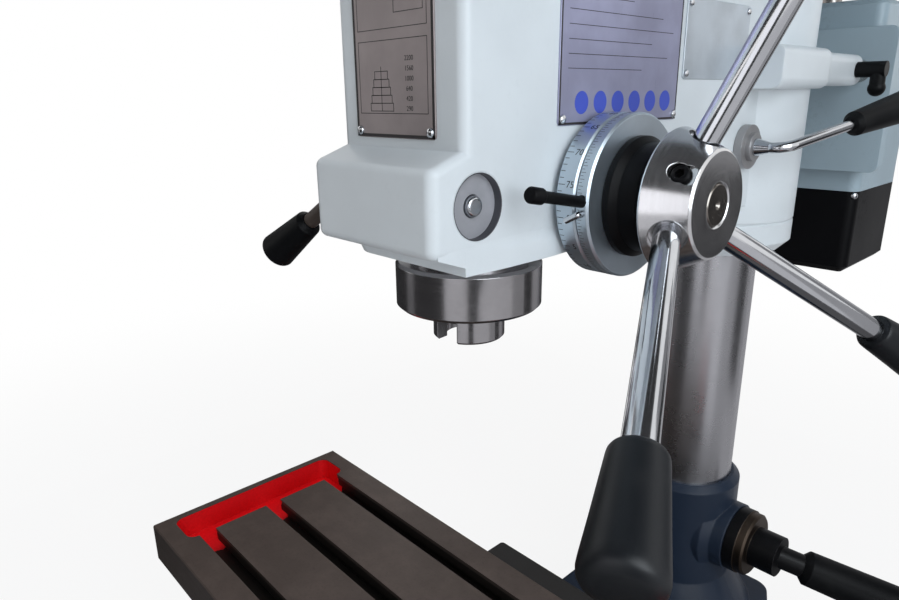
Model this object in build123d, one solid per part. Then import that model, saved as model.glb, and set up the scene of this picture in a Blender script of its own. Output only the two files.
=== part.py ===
from build123d import *
import os
from math import acos, asin, ceil, cos, pi, radians, sin, tan

# Cross table drill press: round column on a cast base, belt driven head,
# T-slot table on a saddle with two crossed dovetail slides.
# Millimetres. +Z up, +X to the right of the operator, -Y towards the operator.
# The origin is the centre of the four base bolts, at the foot of the base.

# Main places
SPINDLE_Y = -85.0
THROAT = 260.0
COLUMN_Y = SPINDLE_Y + THROAT
NOSE_RING_Z = 400.0

# Clearances
RUN_GAP = 0.05
SLIDE_GAP = 0.12
AIR_GAP = 0.4
FACE_GAP = 0.3
ROOM = 1.5
OVERCUT = 1.0

# Base casting
FOOT_W = 206.0
FOOT_L = 510.0
FOOT_H = 22.0
FOOT_R = 26.0
BODY_W = 146.0
BODY_L = 480.0
BODY_R = 22.0
DECK_Z = 75.0
BODY_TAPER = 8.0
BASE_WALL = 14.0
BOLT_EDGE_X = 17.0
BOLT_EDGE_Y = 30.0
BOLT_R = 7.0
SOCKET_R = 44.0
SOCKET_TOP_Z = 200.0
SOCKET_FLARE_R = 64.0
SOCKET_FLARE_H = 34.0
SOCKET_RIM_R = 5.0
SOCKET_FLOOR_Z = 12.0
CLAMP_Z = 150.0
CLAMP_BOSS_R = 28.0
CLAMP_BOSS_X = 50.0
CLAMP_BOSS_FLARE = 6.0
CLAMP_BOSS_NECK = 10.0
WAY_W = 110.0
WAY_H = 15.0
WAY_ANGLE = 60.0
WAY_SEAT_Z = 84.0
WAY_SEAT_W = 130.0
WAY_OVERHANG = 10.0
WAY_FRONT_Y = -BODY_L / 2 - WAY_OVERHANG
WAY_REAR_Y = 118.0
CHANNEL_W = 32.0
CHANNEL_DEPTH = 36.0

# Column
COLUMN_R = 36.5
COLUMN_WALL = 8.0
COLUMN_FOOT_Z = 15.0
COLUMN_TOP_RISE = 190.0
COLUMN_TOP_Z = NOSE_RING_Z + COLUMN_TOP_RISE

# Column clamp
CLAMP_SCREW_R = 8.0
CLAMP_FLANGE_R = 25.5
CLAMP_FLANGE_X = 59.0
CLAMP_FLANGE_T = 7.0
CLAMP_FLANGE_EDGE = 1.5
CLAMP_RING_R = 26.5
CLAMP_HUB_R = 16.0
CLAMP_HUB_T = 20.0
CLAMP_LEVER_INSET = 10.2
CLAMP_LEVER_DIR = (0.85, 0.45, -0.28)
CLAMP_LEVER_R = 9.0
CLAMP_LEVER_L = 26.0
CLAMP_GRIP_R0 = 13.5
CLAMP_GRIP_R1 = 15.0
CLAMP_GRIP_L = 92.0

# Saddle and table
SADDLE_W = 200.0
SADDLE_FRONT_AHEAD = 110.0
SADDLE_FRONT_Y = SPINDLE_Y - SADDLE_FRONT_AHEAD
SADDLE_REAR_BEHIND = 138.0
SADDLE_REAR_Y = SPINDLE_Y + SADDLE_REAR_BEHIND
SADDLE_EDGE_R = 3.0
TABLE_L = 580.0
TABLE_W = 180.0
TABLE_T = 32.0
TABLE_TOP_Z = 160.0
TABLE_EDGE = 1.0
TABLE_BOTTOM_Z = TABLE_TOP_Z - TABLE_T
TABLE_WAY_W = 90.0
SLOT_PITCH = 60.0
SLOT_COUNT = 3
SLOT_W = 14.0
SLOT_NECK = 10.0
SLOT_HEAD_W = 24.0
SLOT_DEPTH = 20.0
GUTTER_RIM = 7.0
GUTTER_W = 34.0
GUTTER_L = 150.0
GUTTER_R = 8.0
GIB_T = 6.0

# Table and saddle screws
SCREW_R = 8.0
NUT_L = 40.0
SCREW_SHOULDER = 1.0
TABLE_SCREW_Z = 122.5
TABLE_CHANNEL_TOP_Z = 134.0
SADDLE_SCREW_Z = 82.0
BRACKET_T = 14.0
BRACKET_W = 64.0
BRACKET_H = 42.0
JOURNAL_R = 7.0
WHEEL_RIM_R = 56.0
WHEEL_TUBE_R = 7.0
WHEEL_HUB_R = 17.0
WHEEL_HUB_L = 30.0
WHEEL_HUB_END_R = 15.0
WHEEL_DIAL_R = 24.0
WHEEL_DIAL_L = 16.0
WHEEL_SPOKES = 3
WHEEL_SPOKE_W = 13.0
WHEEL_SPOKE_T = 8.0
WHEEL_SPOKE_ROOT_R = 13.0
WHEEL_GRIP_R = 9.0
WHEEL_GRIP_ROOT_R = 6.8
WHEEL_GRIP_END_R = 6.3
WHEEL_GRIP_BELLY = 17.0
WHEEL_GRIP_L = 48.0
WHEEL_PIN_R = 4.0

# Head casting
HEAD_W = 85.0
HEAD_BOTTOM_RISE = 29.0
HEAD_BOTTOM_Z = NOSE_RING_Z + HEAD_BOTTOM_RISE
HEAD_TOP_RISE = 200.0
HEAD_TOP_Z = NOSE_RING_Z + HEAD_TOP_RISE
HEAD_FRONT_AHEAD = 43.5
HEAD_FRONT_Y = SPINDLE_Y - HEAD_FRONT_AHEAD
HEAD_CORNER_R = 5.0
CHIN_FRONT_AHEAD = 62.0
CHIN_FRONT_Y = SPINDLE_Y - CHIN_FRONT_AHEAD
CHIN_BOTTOM_RISE = 38.0
CHIN_BOTTOM_Z = NOSE_RING_Z + CHIN_BOTTOM_RISE
CHIN_TOP_RISE = 74.5
CHIN_TOP_Z = NOSE_RING_Z + CHIN_TOP_RISE
CHIN_ROOT_RISE = 81.0
CHIN_ROOT_Z = NOSE_RING_Z + CHIN_ROOT_RISE
CHIN_R = 4.0
COLLAR_R = 57.0
COLLAR_BOTTOM_DROP = 8.0
COLLAR_BOTTOM_Z = NOSE_RING_Z - COLLAR_BOTTOM_DROP
COLLAR_TOP_RISE = 165.0
COLLAR_TOP_Z = NOSE_RING_Z + COLLAR_TOP_RISE
COLLAR_EDGE_R = 8.0
COLLAR_SEAM_RISE = 15.0
COLLAR_SEAM_Z = NOSE_RING_Z + COLLAR_SEAM_RISE
COLLAR_SEAM = 1.2
CAVITY_W = 64.0
CAVITY_FRONT_BEHIND = 82.0
CAVITY_FRONT_Y = SPINDLE_Y + CAVITY_FRONT_BEHIND
CAVITY_REAR_BEHIND = 188.0
CAVITY_REAR_Y = SPINDLE_Y + CAVITY_REAR_BEHIND
CAVITY_FLOOR_RISE = 100.0
CAVITY_FLOOR_Z = NOSE_RING_Z + CAVITY_FLOOR_RISE
CAVITY_R = 10.0

# Quill and spindle
QUILL_R = 30.0
QUILL_TOP_RISE = 178.0
QUILL_TOP_Z = NOSE_RING_Z + QUILL_TOP_RISE
QUILL_TRAVEL = 78.0
QUILL_BORE_TOP_RISE = 2.0
QUILL_BORE_TOP_Z = QUILL_TOP_Z + QUILL_BORE_TOP_RISE
RING_R = 37.5
RING_H = 23.5
RING_EDGE = 1.5
RING_FLOOR = 3.0
NOSE_R = 18.7
NOSE_L = 17.5
NOSE_EDGE = 1.0
NOSE_SLOT_W = 13.0
NOSE_SLOT_DEPTH = 11.0
NOSE_SLOT_TURN = 6.0
TAPER_MOUTH_R = 12.0
TAPER_END_R = 9.8
TAPER_L = 82.0
SPINDLE_R = 17.0
SPINDLE_PROUD = 1.0
SPINDLE_BEARING_R = 25.0
SPINDLE_BEARING_W = 16.0
SHIELD_DEPTH = 1.0
SPLINE_R = 12.0
SPLINE_ROOT_R = 9.5
SPLINE_KEYS = 6
SPLINE_KEY_W = 4.0
SPLINE_ENGAGE = 21.0

# Rack and feed pinion
MODULE = 1.5
PINION_TEETH = 17
PRESSURE_ANGLE = 20.0
ADDENDUM = 0.8 * MODULE
DEDENDUM = 1.1 * MODULE
BACKLASH = 0.2
FLANK_START = 0.02
RACK_W = 14.0
RACK_SEAT_BEHIND = 26.0
RACK_SEAT_Y = SPINDLE_Y + RACK_SEAT_BEHIND
RACK_BELOW = 2
RACK_ABOVE = 1
PITCH_R = MODULE * PINION_TEETH / 2
FEED_BEHIND = 50.0
FEED_Y = SPINDLE_Y + FEED_BEHIND
FEED_RISE = 55.5
FEED_Z = NOSE_RING_Z + FEED_RISE
PINION_L = 24.0
FEED_SHAFT_R = 12.0
FEED_END_R = 9.5
FEED_LEFT_X = -60.0

# Feed dial, hub and handles
DIAL_R = 39.0
DIAL_BACK_X = 45.5
DIAL_SPLIT_X = 56.5
DIAL_FRONT_X = 64.0
DIAL_STEP = 1.0
BELL_FRONT_X = 84.5
BELL_R0 = 28.5
BELL_WAIST_R = 25.5
BELL_R1 = 22.0
BELL_LAND = 3.0
BELL_SLOPE = 3.0
BELL_WAIST_L = 8.5
HUB_R = 24.0
HUB_FRONT_X = 104.5
HUB_EDGE = 0.8
HUB_BORE_EDGE = 0.9
SET_SCREW_X = 97.0
SET_SCREW_SLIDE = 3.5
SET_SCREW_POCKET_R = 4.4
SET_SCREW_R = 2.5
SET_SCREW_STEPS = (1.5, 5.0, 11.0)
SHAFT_END_EDGE = 0.6
CENTRE_DRILL_R = 2.0
HANDLE_ROOT_X = 82.4
HANDLE_TILT = 25.0
HANDLE_TURNS = (205.5, 325.5, 85.5)
HANDLE_R = 6.0
HANDLE_SEAT = 18.5
HANDLE_SPOT_R = 8.2
HANDLE_SPOT_DEPTH = 4.0
GRIP_START = 142.0
GRIP_L = 65.0
GRIP_R0 = 9.5
GRIP_R1 = 12.8
GRIP_SINK = 40.0
GRIP_LIP_SHARE = 0.35
GRIP_DOME_SHARE = 0.45
BUSH_R = 18.0
BUSH_FLANGE_R = 30.0
THUMB_R = 3.2
THUMB_L = 48.0
THUMB_THREAD_R = 2.2
THUMB_TIP_R = 3.8
THUMB_TIP_L = 5.0
THUMB_SEAT = 15.0
THUMB_TURN = 177.0
POINTER_TURN = 186.0
POINTER_R = 1.5
POINTER_SEAT = 4.0
POINTER_RISE = 2.6
POINTER_TIP_X = 54.0
POINTER_TIP_TURN = 190.4

# Quill return spring
SPRING_CASE_R = 38.0
SPRING_CASE_T = 24.0
SPRING_WALL = 3.0
SPRING_STRIP = 1.2
SPRING_PITCH = 4.2
SPRING_TURNS = 4
SPRING_W = 14.0

# Quill lock
LOCK_AHEAD = 35.7
LOCK_Y = SPINDLE_Y - LOCK_AHEAD
LOCK_RISE = 58.0
LOCK_Z = NOSE_RING_Z + LOCK_RISE
LOCK_BOLT_R = 5.0
LOCK_STUD_R = 4.5
LOCK_STUD_PROUD = 2.5
LOCK_STUD_L = 4.5
LOCK_STUD_EDGE = 1.5
LOCK_DISC_R = 14.3
LOCK_SUNK = 4.0
COTTER_INNER_X = 9.0
LOCK_COLLAR_R = 11.0
LOCK_COLLAR_L = 20.0
LOCK_LEVER_DIR = (-0.80, -0.18, -0.57)
LOCK_LEVER_R = 4.3
LOCK_LEVER_L = 35.0
LOCK_GRIP_R0 = 7.5
LOCK_GRIP_R1 = 10.3
LOCK_GRIP_L = 39.0

# Belt drive
PULLEY_STEP_R = (38.0, 47.5, 57.0, 66.5, 76.0)
PULLEY_STEP_H = 15.0
PULLEY_LIP = 2.0
BELT_STEP_INDEX = 2
BELT_TOP_W = 10.0
BELT_HALF_ANGLE = 18.0
BELT_H = 7.0
BELT_PROUD = 1.0
PULLEY_BOTTOM_RISE = 8.0
PULLEY_BOTTOM_Z = HEAD_TOP_Z + PULLEY_BOTTOM_RISE
SLEEVE_R = 17.0
SLEEVE_BOTTOM_RISE = 182.0
SLEEVE_BOTTOM_Z = NOSE_RING_Z + SLEEVE_BOTTOM_RISE
SLEEVE_BEARING_R = 30.0
SLEEVE_BEARING_W = 8.5
MOTOR_BEHIND = 446.5
MOTOR_Y = SPINDLE_Y + MOTOR_BEHIND
MOTOR_SHAFT_R = 9.0

# Motor and its bracket
MOTOR_W = 120.0
MOTOR_D = 105.0
MOTOR_CORNER_R = 8.0
MOTOR_TOP_RISE = 172.0
MOTOR_TOP_Z = NOSE_RING_Z + MOTOR_TOP_RISE
MOTOR_SPLIT_RISE = 22.0
MOTOR_SPLIT_Z = NOSE_RING_Z + MOTOR_SPLIT_RISE
FAN_BOTTOM_DROP = 48.0
FAN_BOTTOM_Z = NOSE_RING_Z - FAN_BOTTOM_DROP
FAN_CHAMFER = 5.0
FAN_GRILLE_R = 40.0
FIN_DEPTH = 4.0
FIN_W = 7.0
FIN_PITCH = 15.0
FIN_COUNT = 5
BRACKET_PLATE_BEHIND = 380.0
BRACKET_PLATE_Y = SPINDLE_Y + BRACKET_PLATE_BEHIND
BRACKET_PLATE_T = 12.0
BRACKET_PLATE_W = 150.0
BRACKET_PLATE_RISE0 = 40.0
BRACKET_PLATE_Z0 = NOSE_RING_Z + BRACKET_PLATE_RISE0
BRACKET_PLATE_RISE1 = 150.0
BRACKET_PLATE_Z1 = NOSE_RING_Z + BRACKET_PLATE_RISE1
ROD_X = 52.0
ROD_RISE = 117.5
ROD_Z = NOSE_RING_Z + ROD_RISE
ROD_R = 8.0
LUG_FRONT_BEHIND = 200.0
LUG_FRONT_Y = SPINDLE_Y + LUG_FRONT_BEHIND
LUG_REAR_BEHIND = 347.0
LUG_REAR_Y = SPINDLE_Y + LUG_REAR_BEHIND
LUG_X = 65.0
LUG_H = 26.0
LUG_STEP_BEHIND = 277.0
LUG_STEP_Y = SPINDLE_Y + LUG_STEP_BEHIND
LUG_END_X = 63.0
LUG_END_H = 22.0
ROD_BORE_BEHIND = 245.0
ROD_BORE_Y = SPINDLE_Y + ROD_BORE_BEHIND
LUG_R = 6.0
LUG_ROOT_X = 39.5
LEFT_ROD_FRONT_BEHIND = 190.0
LEFT_ROD_FRONT_Y = SPINDLE_Y + LEFT_ROD_FRONT_BEHIND
TENSION_TRAVEL = 10.0

# Belt tension lever
TENSION_BEHIND = 208.0
TENSION_Y = SPINDLE_Y + TENSION_BEHIND
TENSION_RISE = 69.0
TENSION_Z = NOSE_RING_Z + TENSION_RISE
TENSION_R = 9.0
TENSION_DISC_R = 14.0
TENSION_DISC_T = 5.0
TENSION_CUP_L = 3.0
TENSION_NECK_R = 5.5
TENSION_ROD_R = 3.4
TENSION_SEAT = 3.0
TENSION_BEND_X = 60.0
TENSION_CHORD = 14.0
TENSION_WAY = (0.292, 0.934, 0.204)
TENSION_ARM = 53.0
TENSION_GRIP_R0 = 8.0
TENSION_GRIP_R1 = 11.5
TENSION_GRIP_L = 72.0
CRANK_T = 8.0
CRANK_R = 13.0
CRANK_ARM_W = 14.0
CRANK_EYE_R = 8.0
CRANK_PIN_R = 5.0
CRANK_SLOT_GAP = 0.5

# Slide rod lock lever
ROD_LOCK_BEHIND = 337.0
ROD_LOCK_Y = SPINDLE_Y + ROD_LOCK_BEHIND
ROD_LOCK_R = 5.0
ROD_LOCK_HUB_R = 5.5
ROD_LOCK_HUB_L = 19.0
ROD_LOCK_ARM = (0.0, 1.0, -13.0)
ROD_LOCK_KNOB_R = 5.8

# Belt cover
COVER_R = 96.0
COVER_WALL = 2.5
PAN_H = 30.0
PAN_HOLE_R = 26.0
SHAFT_SLOT_FRONT = 31.0
SHAFT_SLOT_REAR = 21.0
COVER_TOP_RISE = 106.0
COVER_TOP_Z = HEAD_TOP_Z + COVER_TOP_RISE
COVER_EDGE_R = 16.0
LID_GAP = 0.5
LID_LIP_W = 60.0
LID_LIP_OUT = 9.0
LID_LIP_T = 4.0
LID_LIP_RISE = 4.0
HINGE_R = 5.0
HINGE_PIN_R = 2.5
HINGE_KNUCKLE_L = 24.0
HINGE_OFFSET = 6.0
HINGE_SPOTS = (60.0, 395.0)

# Switch box on the left wall
SWITCH_BEHIND0 = 2.0
SWITCH_Y0 = SPINDLE_Y + SWITCH_BEHIND0
SWITCH_BEHIND1 = 76.0
SWITCH_Y1 = SPINDLE_Y + SWITCH_BEHIND1
SWITCH_RISE0 = 120.0
SWITCH_Z0 = NOSE_RING_Z + SWITCH_RISE0
SWITCH_RISE1 = 190.0
SWITCH_Z1 = NOSE_RING_Z + SWITCH_RISE1
SWITCH_T = 40.0
SWITCH_R = 5.0
BUTTON_R = 11.0
BUTTON_STEM_R = 8.0
BUTTON_T = 6.0
BUTTON_TRAVEL = 3.0
BUTTON_SINK = 12.0
BUTTON_DY = 17.0
GLAND_R = 9.0
GLAND_L = 22.0
GLAND_BORE_R = 4.0

HALF_W = HEAD_W / 2
BELT_R = PULLEY_STEP_R[BELT_STEP_INDEX]
TOOTH_PITCH = pi * MODULE
RACK_TEETH = RACK_BELOW + ceil(QUILL_TRAVEL / TOOTH_PITCH) + RACK_ABOVE
SPLINE_TOP_Z = SLEEVE_BOTTOM_Z + QUILL_TRAVEL + SPLINE_ENGAGE


# Building helpers
def block(x0, x1, y0, y1, z0, z1):
    """Box between two corners."""
    return Pos((x0 + x1) / 2, (y0 + y1) / 2, (z0 + z1) / 2) * Box(x1 - x0, y1 - y0, z1 - z0)


def rod(radius, start, end):
    """Round bar from one point to another."""
    way = Vector(*end) - Vector(*start)
    bar = Cylinder(radius, way.length, align=(Align.CENTER, Align.CENTER, Align.MIN))
    return Plane(origin=start, z_dir=way) * bar


def turned(profile, origin, direction):
    """Solid of revolution; the profile is a list of (radius, distance along the axis)."""
    outline = make_face(Polyline(*[(r, 0, s) for r, s in profile], close=True))
    return Plane(origin=origin, z_dir=direction) * revolve(outline, Axis.Z)


def tube(outer, inner, start, end):
    """Round tube from one point to another."""
    length = (Vector(*end) - Vector(*start)).length
    profile = [(inner, 0), (outer, 0), (outer, length), (inner, length)]
    return turned(profile, start, Vector(*end) - Vector(*start))


def prism(points, axis, start, end):
    """Straight prism along X, Y or Z; points give the two other coordinates in X, Y, Z order."""
    spot = {
        "x": lambda a, b: (start, a, b),
        "y": lambda a, b: (a, start, b),
        "z": lambda a, b: (a, b, start),
    }[axis]
    way = {"x": (1, 0, 0), "y": (0, 1, 0), "z": (0, 0, 1)}[axis]
    outline = make_face(Polyline(*[spot(a, b) for a, b in points], close=True))
    return extrude(outline, amount=end - start, dir=way)


def slab(width, length, radius, z0, z1, centre=(0, 0), taper=0):
    """Upright slab with rounded corners, tapering upwards."""
    sketch = Pos(centre[0], centre[1], z0) * RectangleRounded(width, length, radius)
    return extrude(sketch, amount=z1 - z0, taper=taper)


def step_along(start, direction, distance):
    """Point at a distance from a start point."""
    unit = Vector(*direction).normalized()
    return tuple(Vector(*start) + unit * distance)


def grip(r0, r1, length, start, direction):
    """Tapered grip with a rounded root and a domed end."""
    lip = r0 * GRIP_LIP_SHARE
    dome = r1 * GRIP_DOME_SHARE
    ball_r = (r1 ** 2 + dome ** 2) / (2 * dome)
    half_turn = asin(r1 / ball_r) / 2
    middle = (ball_r * sin(half_turn), 0, length - ball_r + ball_r * cos(half_turn))
    outline = make_face(
        Polyline((0, 0, 0), (r0 - lip, 0, 0), (r0, 0, lip), (r1, 0, length - dome))
        + ThreePointArc((r1, 0, length - dome), middle, (0, 0, length))
        + Line((0, 0, length), (0, 0, 0))
    )
    return Plane(origin=start, z_dir=direction) * revolve(outline, Axis.Z)


def dovetail(half_narrow, z_narrow, z_wide):
    """Half outline of a dovetail: (half width, height) at its narrow and wide ends."""
    spread = abs(z_wide - z_narrow) / tan(radians(WAY_ANGLE))
    return (half_narrow, z_narrow), (half_narrow + spread, z_wide)


# Base, column and its clamp
def make_base():
    """Cast base with Y ways in front and the column socket at the rear."""
    body = slab(FOOT_W, FOOT_L, FOOT_R, 0, FOOT_H)
    body += slab(BODY_W, BODY_L, BODY_R, FOOT_H, DECK_Z, taper=BODY_TAPER)
    inner_w = BODY_W - 2 * BASE_WALL - 2 * DECK_Z * tan(radians(BODY_TAPER))
    inner_l = BODY_L - 2 * BASE_WALL - 2 * DECK_Z * tan(radians(BODY_TAPER))
    floor_z = WAY_SEAT_Z + WAY_H - CHANNEL_DEPTH - BASE_WALL
    hollow = slab(inner_w, inner_l, BODY_R / 2, 0, floor_z)
    hollow -= block(-FOOT_W, FOOT_W, -BASE_WALL / 2, BASE_WALL / 2, 0, DECK_Z)
    hollow -= rod(SOCKET_R + BASE_WALL / 2, (0, COLUMN_Y, 0), (0, COLUMN_Y, DECK_Z))
    body -= hollow
    seat_w = WAY_SEAT_W / 2
    body += block(-seat_w, seat_w, WAY_FRONT_Y + BASE_WALL, WAY_REAR_Y, DECK_Z - OVERCUT, WAY_SEAT_Z)
    narrow, wide = base_way()
    outline = [(-narrow[0], narrow[1]), (narrow[0], narrow[1]), wide, (-wide[0], wide[1])]
    body += prism(outline, "y", WAY_FRONT_Y + BASE_WALL, WAY_REAR_Y)
    flare_top = DECK_Z + SOCKET_FLARE_H
    profile = [(0, 0), (SOCKET_FLARE_R, 0), (SOCKET_FLARE_R, DECK_Z), (SOCKET_R, flare_top)]
    profile += [(SOCKET_R, SOCKET_TOP_Z - SOCKET_RIM_R), (SOCKET_R - SOCKET_RIM_R, SOCKET_TOP_Z)]
    profile += [(0, SOCKET_TOP_Z)]
    body += turned(profile, (0, COLUMN_Y, 0), (0, 0, 1))
    neck_x = CLAMP_BOSS_X - CLAMP_BOSS_NECK
    root_r = CLAMP_BOSS_R + CLAMP_BOSS_FLARE
    profile = [(0, 0), (root_r, 0), (root_r, neck_x - CLAMP_BOSS_FLARE), (CLAMP_BOSS_R, neck_x)]
    profile += [(CLAMP_BOSS_R, CLAMP_BOSS_X), (0, CLAMP_BOSS_X)]
    body += turned(profile, (0, COLUMN_Y, CLAMP_Z), (1, 0, 0))
    body -= rod(COLUMN_R + RUN_GAP, (0, COLUMN_Y, SOCKET_FLOOR_Z), (0, COLUMN_Y, SOCKET_TOP_Z + OVERCUT))
    body -= rod(
        CLAMP_SCREW_R + RUN_GAP,
        (COLUMN_R - OVERCUT, COLUMN_Y, CLAMP_Z),
        (CLAMP_BOSS_X + OVERCUT, COLUMN_Y, CLAMP_Z),
    )
    half = CHANNEL_W / 2
    top = WAY_SEAT_Z + WAY_H
    body -= block(-half, half, -FOOT_L, WAY_REAR_Y - BASE_WALL, top - CHANNEL_DEPTH, top + OVERCUT)
    bolt_x = FOOT_W / 2 - BOLT_EDGE_X
    bolt_y = FOOT_L / 2 - BOLT_EDGE_Y
    for x in (-bolt_x, bolt_x):
        for y in (-bolt_y, bolt_y):
            body -= rod(BOLT_R, (x, y, -OVERCUT), (x, y, DECK_Z))
    return body


def base_way():
    """Narrow and wide ends of the base's dovetail way."""
    spread = WAY_H / tan(radians(WAY_ANGLE))
    return dovetail(WAY_W / 2 - spread, WAY_SEAT_Z, WAY_SEAT_Z + WAY_H)


def make_column():
    """Ground tubular column."""
    return tube(COLUMN_R, COLUMN_R - COLUMN_WALL, (0, COLUMN_Y, COLUMN_FOOT_Z), (0, COLUMN_Y, COLUMN_TOP_Z))


def make_column_clamp():
    """Clamp screw with its flange, hub and slanting lever."""
    start = (COLUMN_R + AIR_GAP, COLUMN_Y, CLAMP_Z)
    flange = (CLAMP_FLANGE_X, COLUMN_Y, CLAMP_Z)
    hub_end = (CLAMP_FLANGE_X + CLAMP_FLANGE_T + CLAMP_HUB_T, COLUMN_Y, CLAMP_Z)
    part = rod(CLAMP_SCREW_R, start, hub_end)
    part += rod(CLAMP_RING_R, (CLAMP_BOSS_X + FACE_GAP, COLUMN_Y, CLAMP_Z), flange)
    far = CLAMP_FLANGE_T
    profile = [(0, 0), (CLAMP_FLANGE_R, 0), (CLAMP_FLANGE_R, far - CLAMP_FLANGE_EDGE)]
    profile += [(CLAMP_FLANGE_R - CLAMP_FLANGE_EDGE, far), (CLAMP_HUB_R, far), (CLAMP_HUB_R, far + CLAMP_HUB_T)]
    profile += [(0, far + CLAMP_HUB_T)]
    part += turned(profile, flange, (1, 0, 0))
    root = step_along(hub_end, (1, 0, 0), -CLAMP_LEVER_INSET)
    part += rod(CLAMP_LEVER_R, root, step_along(root, CLAMP_LEVER_DIR, CLAMP_LEVER_L))
    return part


def make_column_clamp_grip():
    """Tapered handle of the column clamp."""
    hub_end = (CLAMP_FLANGE_X + CLAMP_FLANGE_T + CLAMP_HUB_T, COLUMN_Y, CLAMP_Z)
    root = step_along(hub_end, (1, 0, 0), -CLAMP_LEVER_INSET)
    start = step_along(root, CLAMP_LEVER_DIR, CLAMP_LEVER_L)
    return grip(CLAMP_GRIP_R0, CLAMP_GRIP_R1, CLAMP_GRIP_L, start, CLAMP_LEVER_DIR)


# Saddle, table and their screws
def table_way():
    """Narrow and wide ends of the dovetail under the table."""
    spread = WAY_H / tan(radians(WAY_ANGLE))
    return dovetail(TABLE_WAY_W / 2 - spread, TABLE_BOTTOM_Z, TABLE_BOTTOM_Z - WAY_H)


def groove_outline(way, gib_side, centre):
    """Dovetail groove: the way grown by a sliding gap, and on one side by the gib."""
    (narrow, z_narrow), (wide, z_wide) = way
    depth = FACE_GAP if z_wide > z_narrow else -FACE_GAP
    deep = FACE_GAP / tan(radians(WAY_ANGLE))
    plain = SLIDE_GAP
    gibbed = 2 * SLIDE_GAP + GIB_T
    left, right = (plain, gibbed) if gib_side > 0 else (gibbed, plain)
    mouth = -FACE_GAP if z_wide > z_narrow else FACE_GAP
    return [
        (centre - narrow - left, z_narrow + mouth),
        (centre - narrow - left, z_narrow),
        (centre - wide - left - deep, z_wide + depth),
        (centre + wide + right + deep, z_wide + depth),
        (centre + narrow + right, z_narrow),
        (centre + narrow + right, z_narrow + mouth),
    ]


def gib_outline(way, side, centre):
    """Slanted gib strip between a way's flank and its groove."""
    (narrow, z_narrow), (wide, z_wide) = way
    inner = SLIDE_GAP
    outer = SLIDE_GAP + GIB_T
    return [
        (centre + side * (narrow + inner), z_narrow),
        (centre + side * (wide + inner), z_wide),
        (centre + side * (wide + outer), z_wide),
        (centre + side * (narrow + outer), z_narrow),
    ]


def make_saddle():
    """Saddle: Y dovetail groove underneath, X dovetail groove on top."""
    half = SADDLE_W / 2
    bottom = WAY_SEAT_Z + SLIDE_GAP
    body = block(-half, half, SADDLE_FRONT_Y, SADDLE_REAR_Y, bottom, TABLE_BOTTOM_Z - SLIDE_GAP)
    body = fillet(body.edges().filter_by(Axis.Z), SADDLE_EDGE_R)
    body -= prism(groove_outline(base_way(), 1, 0), "y", SADDLE_FRONT_Y - OVERCUT, SADDLE_REAR_Y + OVERCUT)
    body -= prism(groove_outline(table_way(), 1, SPINDLE_Y), "x", -half - OVERCUT, half + OVERCUT)
    return body


def make_saddle_gibs():
    """The two gib strips, one for each slide."""
    half = SADDLE_W / 2
    lower = prism(gib_outline(base_way(), 1, 0), "y", SADDLE_FRONT_Y, SADDLE_REAR_Y)
    upper = prism(gib_outline(table_way(), 1, SPINDLE_Y), "x", -half, half)
    return Compound(children=[lower.solid(), upper.solid()])


def make_table():
    """T-slot table with a cross gutter at each end and a dovetail underneath."""
    half_l = TABLE_L / 2
    half_w = TABLE_W / 2
    body = block(
        -half_l, half_l, SPINDLE_Y - half_w, SPINDLE_Y + half_w, TABLE_BOTTOM_Z, TABLE_TOP_Z
    )
    body = chamfer(body.edges().filter_by(Axis.Z) + body.faces().sort_by(Axis.Z)[-1].edges(), TABLE_EDGE)
    narrow, wide = table_way()
    low = wide[1]
    outline = [
        (SPINDLE_Y - narrow[0], TABLE_BOTTOM_Z),
        (SPINDLE_Y - wide[0], low),
        (SPINDLE_Y + wide[0], low),
        (SPINDLE_Y + narrow[0], TABLE_BOTTOM_Z),
    ]
    body += prism(outline, "x", -half_l, half_l)
    half_c = CHANNEL_W / 2
    past = half_l + OVERCUT
    body -= block(-past, past, SPINDLE_Y - half_c, SPINDLE_Y + half_c, low - OVERCUT, TABLE_CHANNEL_TOP_Z)
    gutter_x = half_l - GUTTER_RIM - GUTTER_W / 2
    floor_z = TABLE_TOP_Z - SLOT_DEPTH
    for index in range(SLOT_COUNT):
        y = SPINDLE_Y + (index - (SLOT_COUNT - 1) / 2) * SLOT_PITCH
        body -= block(-gutter_x, gutter_x, y - SLOT_W / 2, y + SLOT_W / 2, floor_z, TABLE_TOP_Z + OVERCUT)
        head_z = TABLE_TOP_Z - SLOT_NECK
        half_h = SLOT_HEAD_W / 2
        body -= block(-gutter_x, gutter_x, y - half_h, y + half_h, floor_z, head_z)
    for x in (-gutter_x, gutter_x):
        body -= slab(GUTTER_W, GUTTER_L, GUTTER_R, floor_z, TABLE_TOP_Z + OVERCUT, (x, SPINDLE_Y))
    return body


def make_table_screw():
    """Table feed screw, with the journal that carries the handwheel."""
    end = TABLE_L / 2
    wheel = end + BRACKET_T + WHEEL_DIAL_L + WHEEL_HUB_L
    at = (0, SPINDLE_Y, TABLE_SCREW_Z)
    profile = [(0, -end - BRACKET_T), (JOURNAL_R, -end - BRACKET_T), (JOURNAL_R, -end + SCREW_SHOULDER)]
    profile += [(SCREW_R, -end + SCREW_SHOULDER), (SCREW_R, end - SCREW_SHOULDER)]
    profile += [(JOURNAL_R, end - SCREW_SHOULDER)]
    profile += [(JOURNAL_R, wheel), (0, wheel)]
    return turned(profile, at, (1, 0, 0))


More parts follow.
